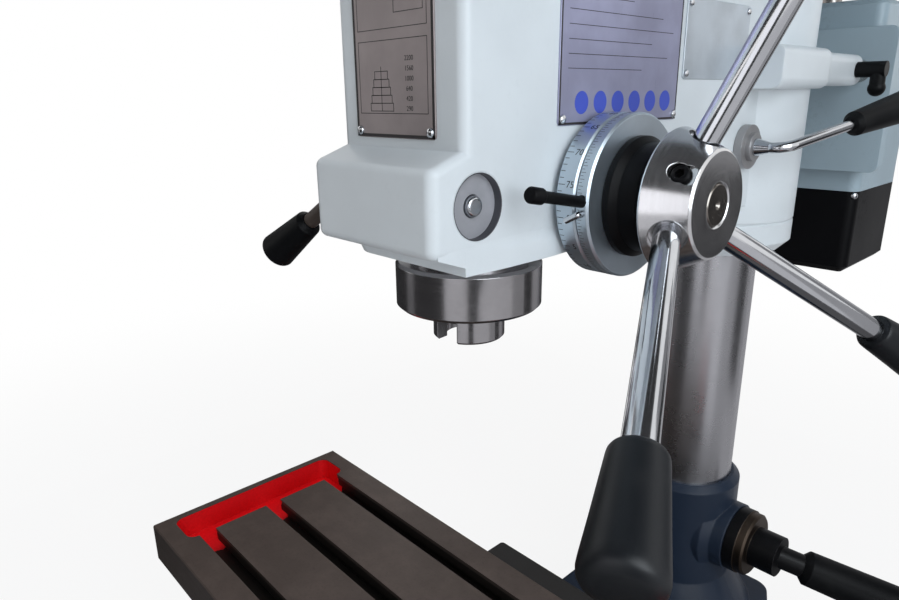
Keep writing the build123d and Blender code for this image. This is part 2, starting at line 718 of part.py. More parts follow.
def make_table_nut():
    """Feed nut on the saddle, round the table screw."""
    half = CHANNEL_W / 2 - ROOM
    floor = TABLE_BOTTOM_Z - WAY_H - FACE_GAP
    top = TABLE_CHANNEL_TOP_Z - ROOM
    nut = block(-NUT_L / 2, NUT_L / 2, SPINDLE_Y - half, SPINDLE_Y + half, floor, top)
    bore = (-NUT_L, SPINDLE_Y, TABLE_SCREW_Z)
    return nut - rod(SCREW_R + RUN_GAP, bore, (NUT_L, SPINDLE_Y, TABLE_SCREW_Z))


def make_table_brackets():
    """End plates that carry the table screw."""
    plates = []
    low = TABLE_SCREW_Z - BRACKET_H / 2
    high = TABLE_SCREW_Z + BRACKET_H / 2
    for side in (-1, 1):
        inner = side * TABLE_L / 2
        outer = inner + side * BRACKET_T
        x0, x1 = sorted((inner, outer))
        plate = block(x0, x1, SPINDLE_Y - BRACKET_W / 2, SPINDLE_Y + BRACKET_W / 2, low, high)
        plate = fillet(plate.edges().filter_by(Axis.X), GUTTER_R)
        axis = (SPINDLE_Y, TABLE_SCREW_Z)
        plates.append(plate - rod(JOURNAL_R + RUN_GAP, (x0 - OVERCUT, *axis), (x1 + OVERCUT, *axis)))
    return Compound(children=[plate.solid() for plate in plates])


def make_saddle_screw():
    """Saddle feed screw lying in the base channel."""
    front = WAY_FRONT_Y
    wheel = front - BRACKET_T - WHEEL_DIAL_L - WHEEL_HUB_L
    rear = WAY_REAR_Y - BASE_WALL - ROOM
    profile = [(0, wheel), (JOURNAL_R, wheel), (JOURNAL_R, front + BASE_WALL), (SCREW_R, front + BASE_WALL)]
    profile += [(SCREW_R, rear), (0, rear)]
    return turned(profile, (0, 0, SADDLE_SCREW_Z), (0, 1, 0))


def make_saddle_nut():
    """Feed nut under the saddle, round the saddle screw."""
    half = CHANNEL_W / 2 - ROOM
    low = WAY_SEAT_Z + WAY_H - CHANNEL_DEPTH + ROOM
    top = WAY_SEAT_Z + WAY_H + FACE_GAP
    y0 = SPINDLE_Y - NUT_L / 2
    nut = block(-half, half, y0, y0 + NUT_L, low, top)
    bore = (0, y0 - OVERCUT, SADDLE_SCREW_Z)
    return nut - rod(SCREW_R + RUN_GAP, bore, (0, y0 + NUT_L + OVERCUT, SADDLE_SCREW_Z))


def make_saddle_bracket():
    """Front plate of the base that carries the saddle screw."""
    front = WAY_FRONT_Y
    low = SADDLE_SCREW_Z - BRACKET_H / 2
    high = SADDLE_SCREW_Z + BRACKET_H / 2 - GUTTER_R
    plate = block(-BRACKET_W / 2, BRACKET_W / 2, front - BRACKET_T, front + BASE_WALL, low, high)
    plate = fillet(plate.edges().filter_by(Axis.Y), GUTTER_R)
    lower = block(-BRACKET_W, BRACKET_W, front, front + BASE_WALL + OVERCUT, low - OVERCUT, DECK_Z)
    plate -= lower
    bore = (0, front - BRACKET_T - OVERCUT, SADDLE_SCREW_Z)
    return plate - rod(JOURNAL_R + RUN_GAP, bore, (0, front + BASE_WALL + OVERCUT, SADDLE_SCREW_Z))


def make_handwheel(face, direction):
    """Three-spoke handwheel with a dished rim and a graduated collar."""
    hub = WHEEL_DIAL_L + WHEEL_HUB_L
    bore = JOURNAL_R + RUN_GAP
    profile = [(bore, FACE_GAP), (WHEEL_DIAL_R, FACE_GAP), (WHEEL_DIAL_R, WHEEL_DIAL_L)]
    profile += [(WHEEL_HUB_R, WHEEL_DIAL_L), (WHEEL_HUB_END_R, hub), (bore, hub)]
    wheel = turned(profile, (0, 0, 0), (0, 0, 1))
    plane_z = WHEEL_DIAL_L + WHEEL_HUB_L / 2
    wheel += Pos(0, 0, plane_z) * Torus(WHEEL_RIM_R, WHEEL_TUBE_R)
    for index in range(WHEEL_SPOKES):
        spoke = block(
            WHEEL_SPOKE_ROOT_R, WHEEL_RIM_R, -WHEEL_SPOKE_W / 2, WHEEL_SPOKE_W / 2,
            plane_z - WHEEL_SPOKE_T / 2, plane_z + WHEEL_SPOKE_T / 2,
        )
        wheel += Rot(0, 0, index * 360 / WHEEL_SPOKES) * spoke
    pin_top = plane_z + WHEEL_TUBE_R + WHEEL_GRIP_L
    wheel += rod(WHEEL_PIN_R, (WHEEL_RIM_R, 0, plane_z), (WHEEL_RIM_R, 0, pin_top))
    return Plane(origin=face, z_dir=direction, x_dir=(0, 0, 1)) * wheel


def make_wheel_grip(face, direction):
    """Revolving grip of a handwheel, bellied, on its pin."""
    start = WHEEL_DIAL_L + WHEEL_HUB_L / 2 + WHEEL_TUBE_R + FACE_GAP
    end = start + WHEEL_GRIP_L - 2 * FACE_GAP
    inner = WHEEL_PIN_R + RUN_GAP
    belly = start + WHEEL_GRIP_BELLY
    outline = make_face(
        Polyline((inner, 0, end), (inner, 0, start), (WHEEL_GRIP_ROOT_R, 0, start))
        + ThreePointArc(
            (WHEEL_GRIP_ROOT_R, 0, start), (WHEEL_GRIP_R, 0, belly), (WHEEL_GRIP_END_R, 0, end)
        )
        + Line((WHEEL_GRIP_END_R, 0, end), (inner, 0, end))
    )
    handle = Pos(WHEEL_RIM_R, 0, 0) * revolve(outline, Axis.Z)
    return Plane(origin=face, z_dir=direction, x_dir=(0, 0, 1)) * handle


# Head casting
def make_head():
    """Head casting: body, chin, column collar and slide rod lugs, with its bores."""
    outline = [
        (HEAD_FRONT_Y, HEAD_BOTTOM_Z),
        (HEAD_FRONT_Y, CHIN_BOTTOM_Z),
        (CHIN_FRONT_Y, CHIN_BOTTOM_Z),
        (CHIN_FRONT_Y, CHIN_TOP_Z),
        (HEAD_FRONT_Y, CHIN_ROOT_Z),
        (HEAD_FRONT_Y, HEAD_TOP_Z),
        (COLUMN_Y, HEAD_TOP_Z),
        (COLUMN_Y, HEAD_BOTTOM_Z),
    ]
    body = prism(outline, "x", -HALF_W, HALF_W)
    upright = body.edges().filter_by(Axis.Z).filter_by(lambda e: e.center().Y < SPINDLE_Y)
    body = fillet(upright, HEAD_CORNER_R)
    chin = body.edges().filter_by(lambda e: e.center().Y < HEAD_FRONT_Y - CHIN_R and abs(e.length) > CHIN_R)
    body = fillet(chin.filter_by(Axis.X), CHIN_R)
    corners = block(-HEAD_W, HEAD_W, CHIN_FRONT_Y, SPINDLE_Y, HEAD_BOTTOM_Z - OVERCUT, CHIN_BOTTOM_Z)
    boss = rod(SPINDLE_Y - HEAD_FRONT_Y, (0, SPINDLE_Y, COLLAR_BOTTOM_Z), (0, SPINDLE_Y, CHIN_TOP_Z))
    body -= corners - boss
    collar = turned(
        [
            (0, COLLAR_BOTTOM_Z),
            (COLLAR_R - COLLAR_EDGE_R, COLLAR_BOTTOM_Z),
            (COLLAR_R, COLLAR_BOTTOM_Z + COLLAR_EDGE_R),
            (COLLAR_R, COLLAR_SEAM_Z - COLLAR_SEAM),
            (COLLAR_R - COLLAR_SEAM, COLLAR_SEAM_Z),
            (COLLAR_R, COLLAR_SEAM_Z + COLLAR_SEAM),
            (COLLAR_R, COLLAR_TOP_Z),
            (COLLAR_R - COLLAR_EDGE_R, HEAD_TOP_Z),
            (0, HEAD_TOP_Z),
        ],
        (0, COLUMN_Y, 0),
        (0, 0, 1),
    )
    body += collar
    for side in (-1, 1):
        front = LUG_FRONT_Y if side > 0 else ROD_BORE_Y
        body += lug(side, LUG_X, LUG_H, front, LUG_STEP_Y)
        body += lug(side, LUG_END_X, LUG_END_H, LUG_STEP_Y - OVERCUT, LUG_REAR_Y)
    return body - head_bores()


def lug(side, reach, height, y0, y1):
    """One section of a slide rod lug, rounded along its outer edges."""
    x0, x1 = sorted((side * LUG_ROOT_X, side * reach))
    bar = block(x0, x1, y0, y1, ROD_Z - height / 2, ROD_Z + height / 2)
    outer = bar.edges().filter_by(Axis.Y).sort_by(Axis.X)
    return fillet(outer[-2:] if side > 0 else outer[:2], LUG_R)


def head_bores():
    """Everything that is bored or cored out of the head casting."""
    over = HEAD_TOP_Z + OVERCUT
    wall = HALF_W + OVERCUT
    under = HEAD_BOTTOM_Z - OVERCUT
    cuts = rod(COLUMN_R + RUN_GAP, (0, COLUMN_Y, COLLAR_BOTTOM_Z - OVERCUT), (0, COLUMN_Y, over))
    cuts += rod(QUILL_R + RUN_GAP, (0, SPINDLE_Y, under), (0, SPINDLE_Y, QUILL_BORE_TOP_Z))
    half_rack = RACK_W / 2 + FACE_GAP
    rack_deep = FEED_Y - PITCH_R + ADDENDUM + ROOM
    cuts += block(-half_rack, half_rack, SPINDLE_Y, rack_deep, under, QUILL_BORE_TOP_Z)
    seat = (0, SPINDLE_Y, QUILL_BORE_TOP_Z - OVERCUT)
    cuts += rod(SLEEVE_BEARING_R + RUN_GAP, seat, (0, SPINDLE_Y, over))
    feed = (FEED_Y, FEED_Z)
    cuts += rod(FEED_SHAFT_R + RUN_GAP, (-wall, *feed), (wall, *feed))
    cuts += rod(BUSH_R + RUN_GAP, (-PINION_L / 2 - ROOM, *feed), (wall, *feed))
    lock = (LOCK_Y, LOCK_Z)
    cuts += rod(LOCK_BOLT_R + RUN_GAP, (-wall, *lock), (wall, *lock))
    cuts += rod(LOCK_DISC_R + RUN_GAP, (COTTER_INNER_X - ROOM, *lock), (wall, *lock))
    tension = (TENSION_Y, TENSION_Z)
    cuts += rod(TENSION_R + RUN_GAP, (-wall, *tension), (wall, *tension))
    for side in (-1, 1):
        x = side * ROD_X
        front = ROD_BORE_Y if side > 0 else COLUMN_Y - COLLAR_R
        cuts += rod(ROD_R + RUN_GAP, (x, front, ROD_Z), (x, LUG_REAR_Y + OVERCUT, ROD_Z))
    lock = (ROD_LOCK_Y, ROD_Z)
    cuts += rod(ROD_LOCK_R + RUN_GAP, (ROD_X, *lock), (LUG_END_X + OVERCUT, *lock))
    cuts += slab(
        CAVITY_W,
        CAVITY_REAR_Y - CAVITY_FRONT_Y,
        CAVITY_R,
        CAVITY_FLOOR_Z,
        over,
        (0, (CAVITY_FRONT_Y + CAVITY_REAR_Y) / 2),
    )
    return cuts


# Quill, spindle and feed
def make_quill():
    """Quill tube with bearing seats and the flat seat for the rack."""
    bore = SPINDLE_R + ROOM
    seat = SPINDLE_BEARING_R + RUN_GAP
    low = NOSE_RING_Z + RING_FLOOR
    top = QUILL_TOP_Z
    profile = [
        (seat, low), (QUILL_R, low), (QUILL_R, top), (seat, top), (seat, top - SPINDLE_BEARING_W),
        (bore, top - SPINDLE_BEARING_W), (bore, low + SPINDLE_BEARING_W), (seat, low + SPINDLE_BEARING_W),
    ]
    quill = turned(profile, (0, SPINDLE_Y, 0), (0, 0, 1))
    low_z, high_z = rack_span()
    half = RACK_W / 2 + RUN_GAP
    back = SPINDLE_Y + QUILL_R + OVERCUT
    return quill - block(-half, half, RACK_SEAT_Y, back, low_z - RUN_GAP, high_z + RUN_GAP)


def make_quill_ring():
    """Steel ring at the foot of the quill, which closes the lower bearing."""
    low = RING_FLOOR
    profile = [
        (NOSE_R + AIR_GAP, 0), (RING_R - RING_EDGE, 0), (RING_R, RING_EDGE), (RING_R, RING_H - RING_EDGE),
        (RING_R - RING_EDGE, RING_H), (QUILL_R + RUN_GAP, RING_H), (QUILL_R + RUN_GAP, low),
        (NOSE_R + AIR_GAP, low),
    ]
    return turned(profile, (0, SPINDLE_Y, NOSE_RING_Z), (0, 0, 1))


def rack_span():
    """Lowest and highest point of the quill rack."""
    low = FEED_Z - RACK_BELOW * TOOTH_PITCH
    return low, low + RACK_TEETH * TOOTH_PITCH


def make_quill_rack():
    """Straight rack let into the rear of the quill; a tooth space faces the pinion at rest."""
    pitch_y = FEED_Y - PITCH_R
    flank = tan(radians(PRESSURE_ANGLE))
    tip = pitch_y + ADDENDUM
    root = pitch_y - DEDENDUM
    half_tip = (TOOTH_PITCH / 2 - BACKLASH) / 2 - ADDENDUM * flank
    half_root = (TOOTH_PITCH / 2 - BACKLASH) / 2 + DEDENDUM * flank
    low, high = rack_span()
    points = [(RACK_SEAT_Y + RUN_GAP, high), (RACK_SEAT_Y + RUN_GAP, low), (root, low)]
    for index in range(RACK_TEETH):
        z = low + (index + 0.5) * TOOTH_PITCH
        points += [(root, z - half_root), (tip, z - half_tip), (tip, z + half_tip), (root, z + half_root)]
    points.append((root, high))
    return prism(points, "x", -RACK_W / 2, RACK_W / 2)


def involute(angle):
    """Involute function of an angle in radians."""
    return tan(angle) - angle


def pinion_outline():
    """Closed outline of the feed pinion in its own plane; one tooth points along +X."""
    base_r = PITCH_R * cos(radians(PRESSURE_ANGLE))
    tip_r = PITCH_R + ADDENDUM
    root_r = PITCH_R - DEDENDUM
    half = (TOOTH_PITCH / 2 - BACKLASH) / (2 * PITCH_R) + involute(radians(PRESSURE_ANGLE))

    def polar(radius, angle):
        return (radius * cos(angle), radius * sin(angle))

    def flank(radius):
        return half - involute(acos(base_r / radius))

    start_r = base_r + FLANK_START
    mid_r = (start_r + tip_r) / 2
    step = 2 * pi / PINION_TEETH
    lines = []
    for index in range(PINION_TEETH):
        at = index * step
        foot = at - flank(start_r)
        edge = at + flank(start_r)
        following = at + step - flank(start_r)
        lines.append(Line(polar(root_r, foot), polar(start_r, foot)))
        lines.append(
            ThreePointArc(
                polar(start_r, foot), polar(mid_r, at - flank(mid_r)), polar(tip_r, at - flank(tip_r))
            )
        )
        lines.append(
            ThreePointArc(
                polar(tip_r, at - flank(tip_r)), polar(tip_r, at), polar(tip_r, at + flank(tip_r))
            )
        )
        lines.append(
            ThreePointArc(
                polar(tip_r, at + flank(tip_r)), polar(mid_r, at + flank(mid_r)), polar(start_r, edge)
            )
        )
        lines.append(Line(polar(start_r, edge), polar(root_r, edge)))
        lines.append(
            ThreePointArc(
                polar(root_r, edge), polar(root_r, (edge + following) / 2), polar(root_r, following)
            )
        )
    return make_face(Curve() + lines)


def make_feed_shaft():
    """Feed shaft with its pinion; the plain end carries the hub."""
    at = (0, FEED_Y, FEED_Z)
    half = PINION_L / 2
    profile = [(0, FEED_LEFT_X), (FEED_END_R, FEED_LEFT_X), (FEED_END_R, -HALF_W - SPRING_WALL)]
    profile += [(FEED_SHAFT_R, -HALF_W - SPRING_WALL), (FEED_SHAFT_R, -half - ROOM)]
    profile += [(PITCH_R - DEDENDUM, -half - ROOM), (PITCH_R - DEDENDUM, half + ROOM)]
    profile += [(FEED_SHAFT_R, half + ROOM), (FEED_SHAFT_R, DIAL_FRONT_X), (FEED_END_R, DIAL_FRONT_X)]
    profile += [(FEED_END_R, HUB_FRONT_X - SHAFT_END_EDGE), (FEED_END_R - SHAFT_END_EDGE, HUB_FRONT_X)]
    profile += [(CENTRE_DRILL_R, HUB_FRONT_X), (0, HUB_FRONT_X - CENTRE_DRILL_R)]
    shaft = turned(profile, at, (1, 0, 0))
    plane = Plane(origin=(-half, FEED_Y, FEED_Z), x_dir=(0, -1, 0), z_dir=(1, 0, 0))
    return shaft + plane * extrude(pinion_outline(), amount=PINION_L)


def make_feed_bush():
    """Flanged bush that carries the feed shaft in the right wall; its flange is the depth scale."""
    inner = FEED_SHAFT_R + RUN_GAP
    start = PINION_L / 2 + ROOM
    low = DIAL_R - DIAL_STEP
    front = DIAL_SPLIT_X - FACE_GAP / 2
    profile = [
        (inner, start), (BUSH_R, start), (BUSH_R, HALF_W), (BUSH_FLANGE_R, HALF_W),
        (BUSH_FLANGE_R, DIAL_BACK_X), (low, DIAL_BACK_X), (DIAL_R, DIAL_BACK_X + DIAL_STEP),
        (DIAL_R, front - DIAL_STEP), (low, front), (inner, front),
    ]
    return turned(profile, (0, FEED_Y, FEED_Z), (1, 0, 0))


def ring_spot(x, turn, radius):
    """Point at a turn and a radius round the feed axis."""
    angle = radians(turn)
    return (x, FEED_Y + radius * cos(angle), FEED_Z + radius * sin(angle))


def make_dial_ring():
    """Turning ring of the depth stop, in front of the scale."""
    inner = FEED_SHAFT_R + RUN_GAP
    low = DIAL_R - DIAL_STEP
    back = DIAL_SPLIT_X + FACE_GAP / 2
    front = DIAL_FRONT_X - FACE_GAP
    profile = [
        (inner, back), (low, back), (DIAL_R, back + DIAL_STEP), (DIAL_R, front - DIAL_STEP), (low, front),
        (inner, front),
    ]
    ring = turned(profile, (0, FEED_Y, FEED_Z), (1, 0, 0))
    x = (DIAL_SPLIT_X + DIAL_FRONT_X) / 2
    top = DIAL_R + OVERCUT
    thread = ring_spot(x, THUMB_TURN, DIAL_R - THUMB_SEAT)
    ring -= rod(THUMB_THREAD_R + RUN_GAP, thread, ring_spot(x, THUMB_TURN, top))
    foot = ring_spot(x, POINTER_TURN, DIAL_R - POINTER_SEAT)
    return ring - rod(POINTER_R + RUN_GAP, foot, ring_spot(x, POINTER_TURN, top))


def make_dial_screw():
    """Thumb screw that locks the turning ring to the feed shaft."""
    x = (DIAL_SPLIT_X + DIAL_FRONT_X) / 2
    seat = DIAL_R - THUMB_SEAT
    profile = [
        (0, seat), (THUMB_THREAD_R, seat), (THUMB_THREAD_R, DIAL_R + FACE_GAP), (THUMB_R, DIAL_R + FACE_GAP),
        (THUMB_R, seat + THUMB_L - THUMB_TIP_L), (THUMB_TIP_R, seat + THUMB_L - THUMB_TIP_L),
        (THUMB_TIP_R, seat + THUMB_L), (0, seat + THUMB_L),
    ]
    turn = radians(THUMB_TURN)
    return turned(profile, (x, FEED_Y, FEED_Z), (0, cos(turn), sin(turn)))


def make_dial_pointer():
    """Bent pointer on the turning ring; its tip hangs over the depth scale."""
    x = (DIAL_SPLIT_X + DIAL_FRONT_X) / 2
    high = DIAL_R + POINTER_RISE
    foot = ring_spot(x, POINTER_TURN, DIAL_R - POINTER_SEAT)
    knee = ring_spot(x, POINTER_TURN, high)
    bend = ring_spot(POINTER_TIP_X, POINTER_TIP_TURN, high)
    tip = ring_spot(POINTER_TIP_X, POINTER_TIP_TURN, DIAL_R + FACE_GAP)
    pointer = rod(POINTER_R, foot, knee) + rod(POINTER_R, knee, bend) + rod(POINTER_R, bend, tip)
    return pointer + Pos(*knee) * Sphere(POINTER_R) + Pos(*bend) * Sphere(POINTER_R)


def make_dial_bell():
    """Stepped black flange between the scale and the hub."""
    inner = FEED_END_R + RUN_GAP
    land = DIAL_FRONT_X + BELL_LAND
    waist = land + BELL_SLOPE
    neck = waist + BELL_WAIST_L
    profile = [
        (inner, DIAL_FRONT_X), (BELL_R0, DIAL_FRONT_X), (BELL_R0, land), (BELL_WAIST_R, waist),
        (BELL_WAIST_R, neck), (BELL_R1, neck + BELL_SLOPE), (BELL_R1, BELL_FRONT_X), (inner, BELL_FRONT_X),
    ]
    return turned(profile, (0, FEED_Y, FEED_Z), (1, 0, 0))


def handle_axis(turn):
    """Start point and direction of a feed handle."""
    tilt = radians(HANDLE_TILT)
    angle = radians(turn)
    return (HANDLE_ROOT_X, FEED_Y, FEED_Z), (sin(tilt), cos(tilt) * cos(angle), cos(tilt) * sin(angle))


def hub_radius(x):
    """Radius of the conical hub, whose sides stand square to the handles."""
    return HUB_R + (HUB_FRONT_X - x) * tan(radians(HANDLE_TILT))


def make_feed_hub():
    """Conical hub with three handle sockets and a set screw pocket."""
    inner = FEED_END_R + RUN_GAP
    rear = BELL_FRONT_X
    front = HUB_FRONT_X
    profile = [
        (inner, rear), (hub_radius(rear) - HUB_EDGE, rear), (hub_radius(rear + HUB_EDGE), rear + HUB_EDGE),
        (hub_radius(front - HUB_EDGE), front - HUB_EDGE), (HUB_R - HUB_EDGE, front),
        (inner + HUB_BORE_EDGE, front), (inner, front - HUB_BORE_EDGE),
    ]
    hub = turned(profile, (0, FEED_Y, FEED_Z), (1, 0, 0))
    skin = hub_radius(HANDLE_ROOT_X) * cos(radians(HANDLE_TILT))
    for turn in HANDLE_TURNS:
        start, way = handle_axis(turn)
        far = step_along(start, way, GRIP_START)
        hub -= rod(HANDLE_R + RUN_GAP, step_along(start, way, HANDLE_SEAT), far)
        hub -= rod(HANDLE_SPOT_R, step_along(start, way, skin - HANDLE_SPOT_DEPTH), far)
    turn = sum(HANDLE_TURNS[::2]) / 2
    shallow, deep, bottom = [hub_radius(SET_SCREW_X) - step for step in SET_SCREW_STEPS]
    outside = hub_radius(rear)
    slid = SET_SCREW_X + SET_SCREW_SLIDE
    shallow -= SET_SCREW_SLIDE * tan(radians(HANDLE_TILT))
    hub -= rod(SET_SCREW_POCKET_R, ring_spot(SET_SCREW_X, turn, deep), ring_spot(SET_SCREW_X, turn, outside))
    hub -= rod(SET_SCREW_POCKET_R, ring_spot(slid, turn, shallow), ring_spot(slid, turn, outside))
    return hub - rod(SET_SCREW_R, ring_spot(SET_SCREW_X, turn, bottom), ring_spot(SET_SCREW_X, turn, outside))


def make_feed_handle(turn):
    """One chromed handle rod."""
    start, way = handle_axis(turn)
    return rod(HANDLE_R, step_along(start, way, HANDLE_SEAT), step_along(start, way, GRIP_START + GRIP_SINK))


def make_feed_grip(turn):
    """One black grip, hollow for its rod."""
    start, way = handle_axis(turn)
    body = grip(GRIP_R0, GRIP_R1, GRIP_L, step_along(start, way, GRIP_START), way)
    bore_end = GRIP_START + GRIP_SINK + RUN_GAP
    bore_start = step_along(start, way, GRIP_START - OVERCUT)
    return body - rod(HANDLE_R + RUN_GAP, bore_start, step_along(start, way, bore_end))


def make_spring_case():
    """Cup of the quill return spring on the left wall."""
    face = -HALF_W
    far = face - SPRING_CASE_T
    shaft_r = FEED_END_R + FACE_GAP
    profile = [
        (FEED_SHAFT_R + FACE_GAP, face), (SPRING_CASE_R, face), (SPRING_CASE_R, far + SPRING_WALL),
        (SPRING_CASE_R - SPRING_WALL, far), (shaft_r, far), (shaft_r, far + SPRING_WALL),
        (SPRING_CASE_R - SPRING_WALL, far + SPRING_WALL), (SPRING_CASE_R - SPRING_WALL, face - SPRING_WALL),
        (FEED_SHAFT_R + FACE_GAP, face - SPRING_WALL),
    ]
    return turned(profile, (0, FEED_Y, FEED_Z), (1, 0, 0))


def make_return_spring():
    """Flat spiral spring: half turns whose radius grows by half the pitch each time."""
    first = FEED_END_R + FACE_GAP
    x = -HALF_W - (SPRING_CASE_T + SPRING_W) / 2
    plane = Plane(origin=(x, FEED_Y, FEED_Z), x_dir=(0, 1, 0), z_dir=(1, 0, 0))

    def spiral(offset):
        step = SPRING_PITCH / 2
        lines = []
        for index in range(2 * SPRING_TURNS):
            odd = index % 2
            lines.append(CenterArc((odd * step, 0), first + offset + index * step, odd * 180, 180))
        return lines

    inner = spiral(0.0)
    outer = spiral(SPRING_STRIP)
    caps = [
        Line(inner[0] @ 0, outer[0] @ 0),
        Line(inner[-1] @ 1, outer[-1] @ 1),
    ]
    return plane * extrude(make_face(Curve() + inner + outer + caps), amount=SPRING_W)


def make_spindle():
    """Spindle: taper nose with a drive slot, bearing journal and splined tail."""
    nose_z = NOSE_RING_Z - NOSE_L
    tail_z = QUILL_TOP_Z + SPINDLE_PROUD
    low = NOSE_RING_Z + RING_FLOOR
    profile = [
        (0, nose_z), (NOSE_R - NOSE_EDGE, nose_z), (NOSE_R, nose_z + NOSE_EDGE), (NOSE_R, low),
        (SPINDLE_R, low), (SPINDLE_R, tail_z), (SPLINE_ROOT_R, tail_z), (SPLINE_ROOT_R, SPLINE_TOP_Z),
        (0, SPLINE_TOP_Z),
    ]
    spindle = turned(profile, (0, SPINDLE_Y, 0), (0, 0, 1))
    spindle += spline_keys(SPLINE_R, SPLINE_KEY_W, tail_z, SPLINE_TOP_Z)
    under = nose_z - OVERCUT
    bore = [(0, under), (TAPER_MOUTH_R, under), (TAPER_MOUTH_R, nose_z)]
    bore += [(TAPER_END_R, nose_z + TAPER_L), (0, nose_z + TAPER_L + TAPER_END_R / 2)]
    spindle -= turned(bore, (0, SPINDLE_Y, 0), (0, 0, 1))
    half = NOSE_SLOT_W / 2
    past = NOSE_R + OVERCUT
    slot = block(-half, half, -past, past, -OVERCUT, NOSE_SLOT_DEPTH)
    return spindle - Pos(0, SPINDLE_Y, nose_z) * Rot(0, 0, NOSE_SLOT_TURN) * slot


def spline_keys(radius, width, z0, z1):
    """Keys of the spindle's splined tail, as crossed bars."""
    bars = None
    for index in range(SPLINE_KEYS // 2):
        bar = block(-radius, radius, -width / 2, width / 2, z0, z1)
        bar = Pos(0, SPINDLE_Y, 0) * Rot(0, 0, index * 360 / SPLINE_KEYS) * bar
        bars = bar if bars is None else bars + bar
    return bars


def bearing(outer, inner, z0, width):
    """Ball bearing as one ring with a shield groove in each face."""
    mid = (outer + inner) / 2
    gap = (outer - inner) / 6
    far = width - SHIELD_DEPTH
    profile = [
        (inner, 0), (mid - gap, 0), (mid - gap, SHIELD_DEPTH), (mid + gap, SHIELD_DEPTH), (mid + gap, 0),
        (outer, 0), (outer, width), (mid + gap, width), (mid + gap, far), (mid - gap, far),
        (mid - gap, width), (inner, width),
    ]
    return turned(profile, (0, SPINDLE_Y, z0), (0, 0, 1))


def make_spindle_bearings():
    """Lower and upper spindle bearings in the quill."""
    low = NOSE_RING_Z + RING_FLOOR
    inner = SPINDLE_R + RUN_GAP
    lower = bearing(SPINDLE_BEARING_R, inner, low, SPINDLE_BEARING_W)
    upper = bearing(SPINDLE_BEARING_R, inner, QUILL_TOP_Z - SPINDLE_BEARING_W, SPINDLE_BEARING_W)
    return Compound(children=[lower.solid(), upper.solid()])


# Quill lock
def make_lock_cotter():
    """Clamp piece of the quill lock: its sunk end shows in the right wall."""
    lock = (LOCK_Y, LOCK_Z)
    end_x = HALF_W - LOCK_SUNK
    piece = rod(LOCK_DISC_R, (COTTER_INNER_X, *lock), (end_x, *lock))
    quill = rod(QUILL_R + FACE_GAP, (0, SPINDLE_Y, HEAD_BOTTOM_Z), (0, SPINDLE_Y, QUILL_BORE_TOP_Z))
    piece -= quill
    return piece - rod(LOCK_BOLT_R + RUN_GAP, (0, *lock), (HALF_W + OVERCUT, *lock))


def make_lock_bolt():
    """Lock bolt across the head with its collar and slanting lever rod."""
    lock = (LOCK_Y, LOCK_Z)
    out_x = -HALF_W - FACE_GAP
    stud_x = HALF_W - LOCK_SUNK + LOCK_STUD_PROUD
    bolt = rod(LOCK_BOLT_R, (out_x, *lock), (stud_x - LOCK_STUD_L + OVERCUT, *lock))
    stud = rod(LOCK_STUD_R, (stud_x - LOCK_STUD_L, *lock), (stud_x, *lock))
    bolt += fillet(stud.faces().sort_by(Axis.X)[-1].edges(), LOCK_STUD_EDGE)
    collar_end = (out_x - LOCK_COLLAR_L, *lock)
    bolt += rod(LOCK_COLLAR_R, (out_x, *lock), collar_end)
    root = (out_x - LOCK_COLLAR_L / 2, *lock)
    return bolt + rod(LOCK_LEVER_R, root, step_along(root, LOCK_LEVER_DIR, LOCK_LEVER_L))


def make_lock_grip():
    """Black grip of the quill lock lever."""
    root = (-HALF_W - FACE_GAP - LOCK_COLLAR_L / 2, LOCK_Y, LOCK_Z)
    start = step_along(root, LOCK_LEVER_DIR, LOCK_LEVER_L)
    return grip(LOCK_GRIP_R0, LOCK_GRIP_R1, LOCK_GRIP_L, start, LOCK_LEVER_DIR)


# Belt drive
def step_pulley(radii, bore, y):
    """Stepped V pulley; radii are listed from the bottom step upwards."""
    flank = tan(radians(BELT_HALF_ANGLE))
    half_groove = BELT_TOP_W / 2 + BELT_PROUD * flank
    points = [(bore, PULLEY_BOTTOM_Z)]
    for index, radius in enumerate(radii):
        z = PULLEY_BOTTOM_Z + (index + 0.5) * PULLEY_STEP_H
        deep = radius - BELT_H - PULLEY_LIP
        half_deep = half_groove - (radius - deep) * flank
        points += [
            (radius, z - PULLEY_STEP_H / 2), (radius, z - half_groove), (deep, z - half_deep),
            (deep, z + half_deep), (radius, z + half_groove), (radius, z + PULLEY_STEP_H / 2),
        ]
    points.append((bore, PULLEY_BOTTOM_Z + len(radii) * PULLEY_STEP_H))
    return turned(points, (0, y, 0), (0, 0, 1))


def make_spindle_pulley():
    """Spindle pulley on its splined sleeve, largest step at the bottom."""
    top = PULLEY_BOTTOM_Z + len(PULLEY_STEP_R) * PULLEY_STEP_H
    pulley = step_pulley(tuple(reversed(PULLEY_STEP_R)), SLEEVE_R - OVERCUT, SPINDLE_Y)
    sleeve = tube(SLEEVE_R, SPLINE_ROOT_R + FACE_GAP, (0, SPINDLE_Y, SLEEVE_BOTTOM_Z), (0, SPINDLE_Y, top))
    key_w = SPLINE_KEY_W + 2 * FACE_GAP
    keyway = spline_keys(SPLINE_R + FACE_GAP, key_w, SLEEVE_BOTTOM_Z - OVERCUT, top + OVERCUT)
    return pulley + sleeve - keyway


def make_pulley_bearings():
    """Two bearings that carry the pulley sleeve in the head."""
    inner = SLEEVE_R + RUN_GAP
    first = HEAD_TOP_Z - SLEEVE_BEARING_W
    lower = bearing(SLEEVE_BEARING_R, inner, SLEEVE_BOTTOM_Z, SLEEVE_BEARING_W)
    upper = bearing(SLEEVE_BEARING_R, inner, first, SLEEVE_BEARING_W)
    return Compound(children=[lower.solid(), upper.solid()])


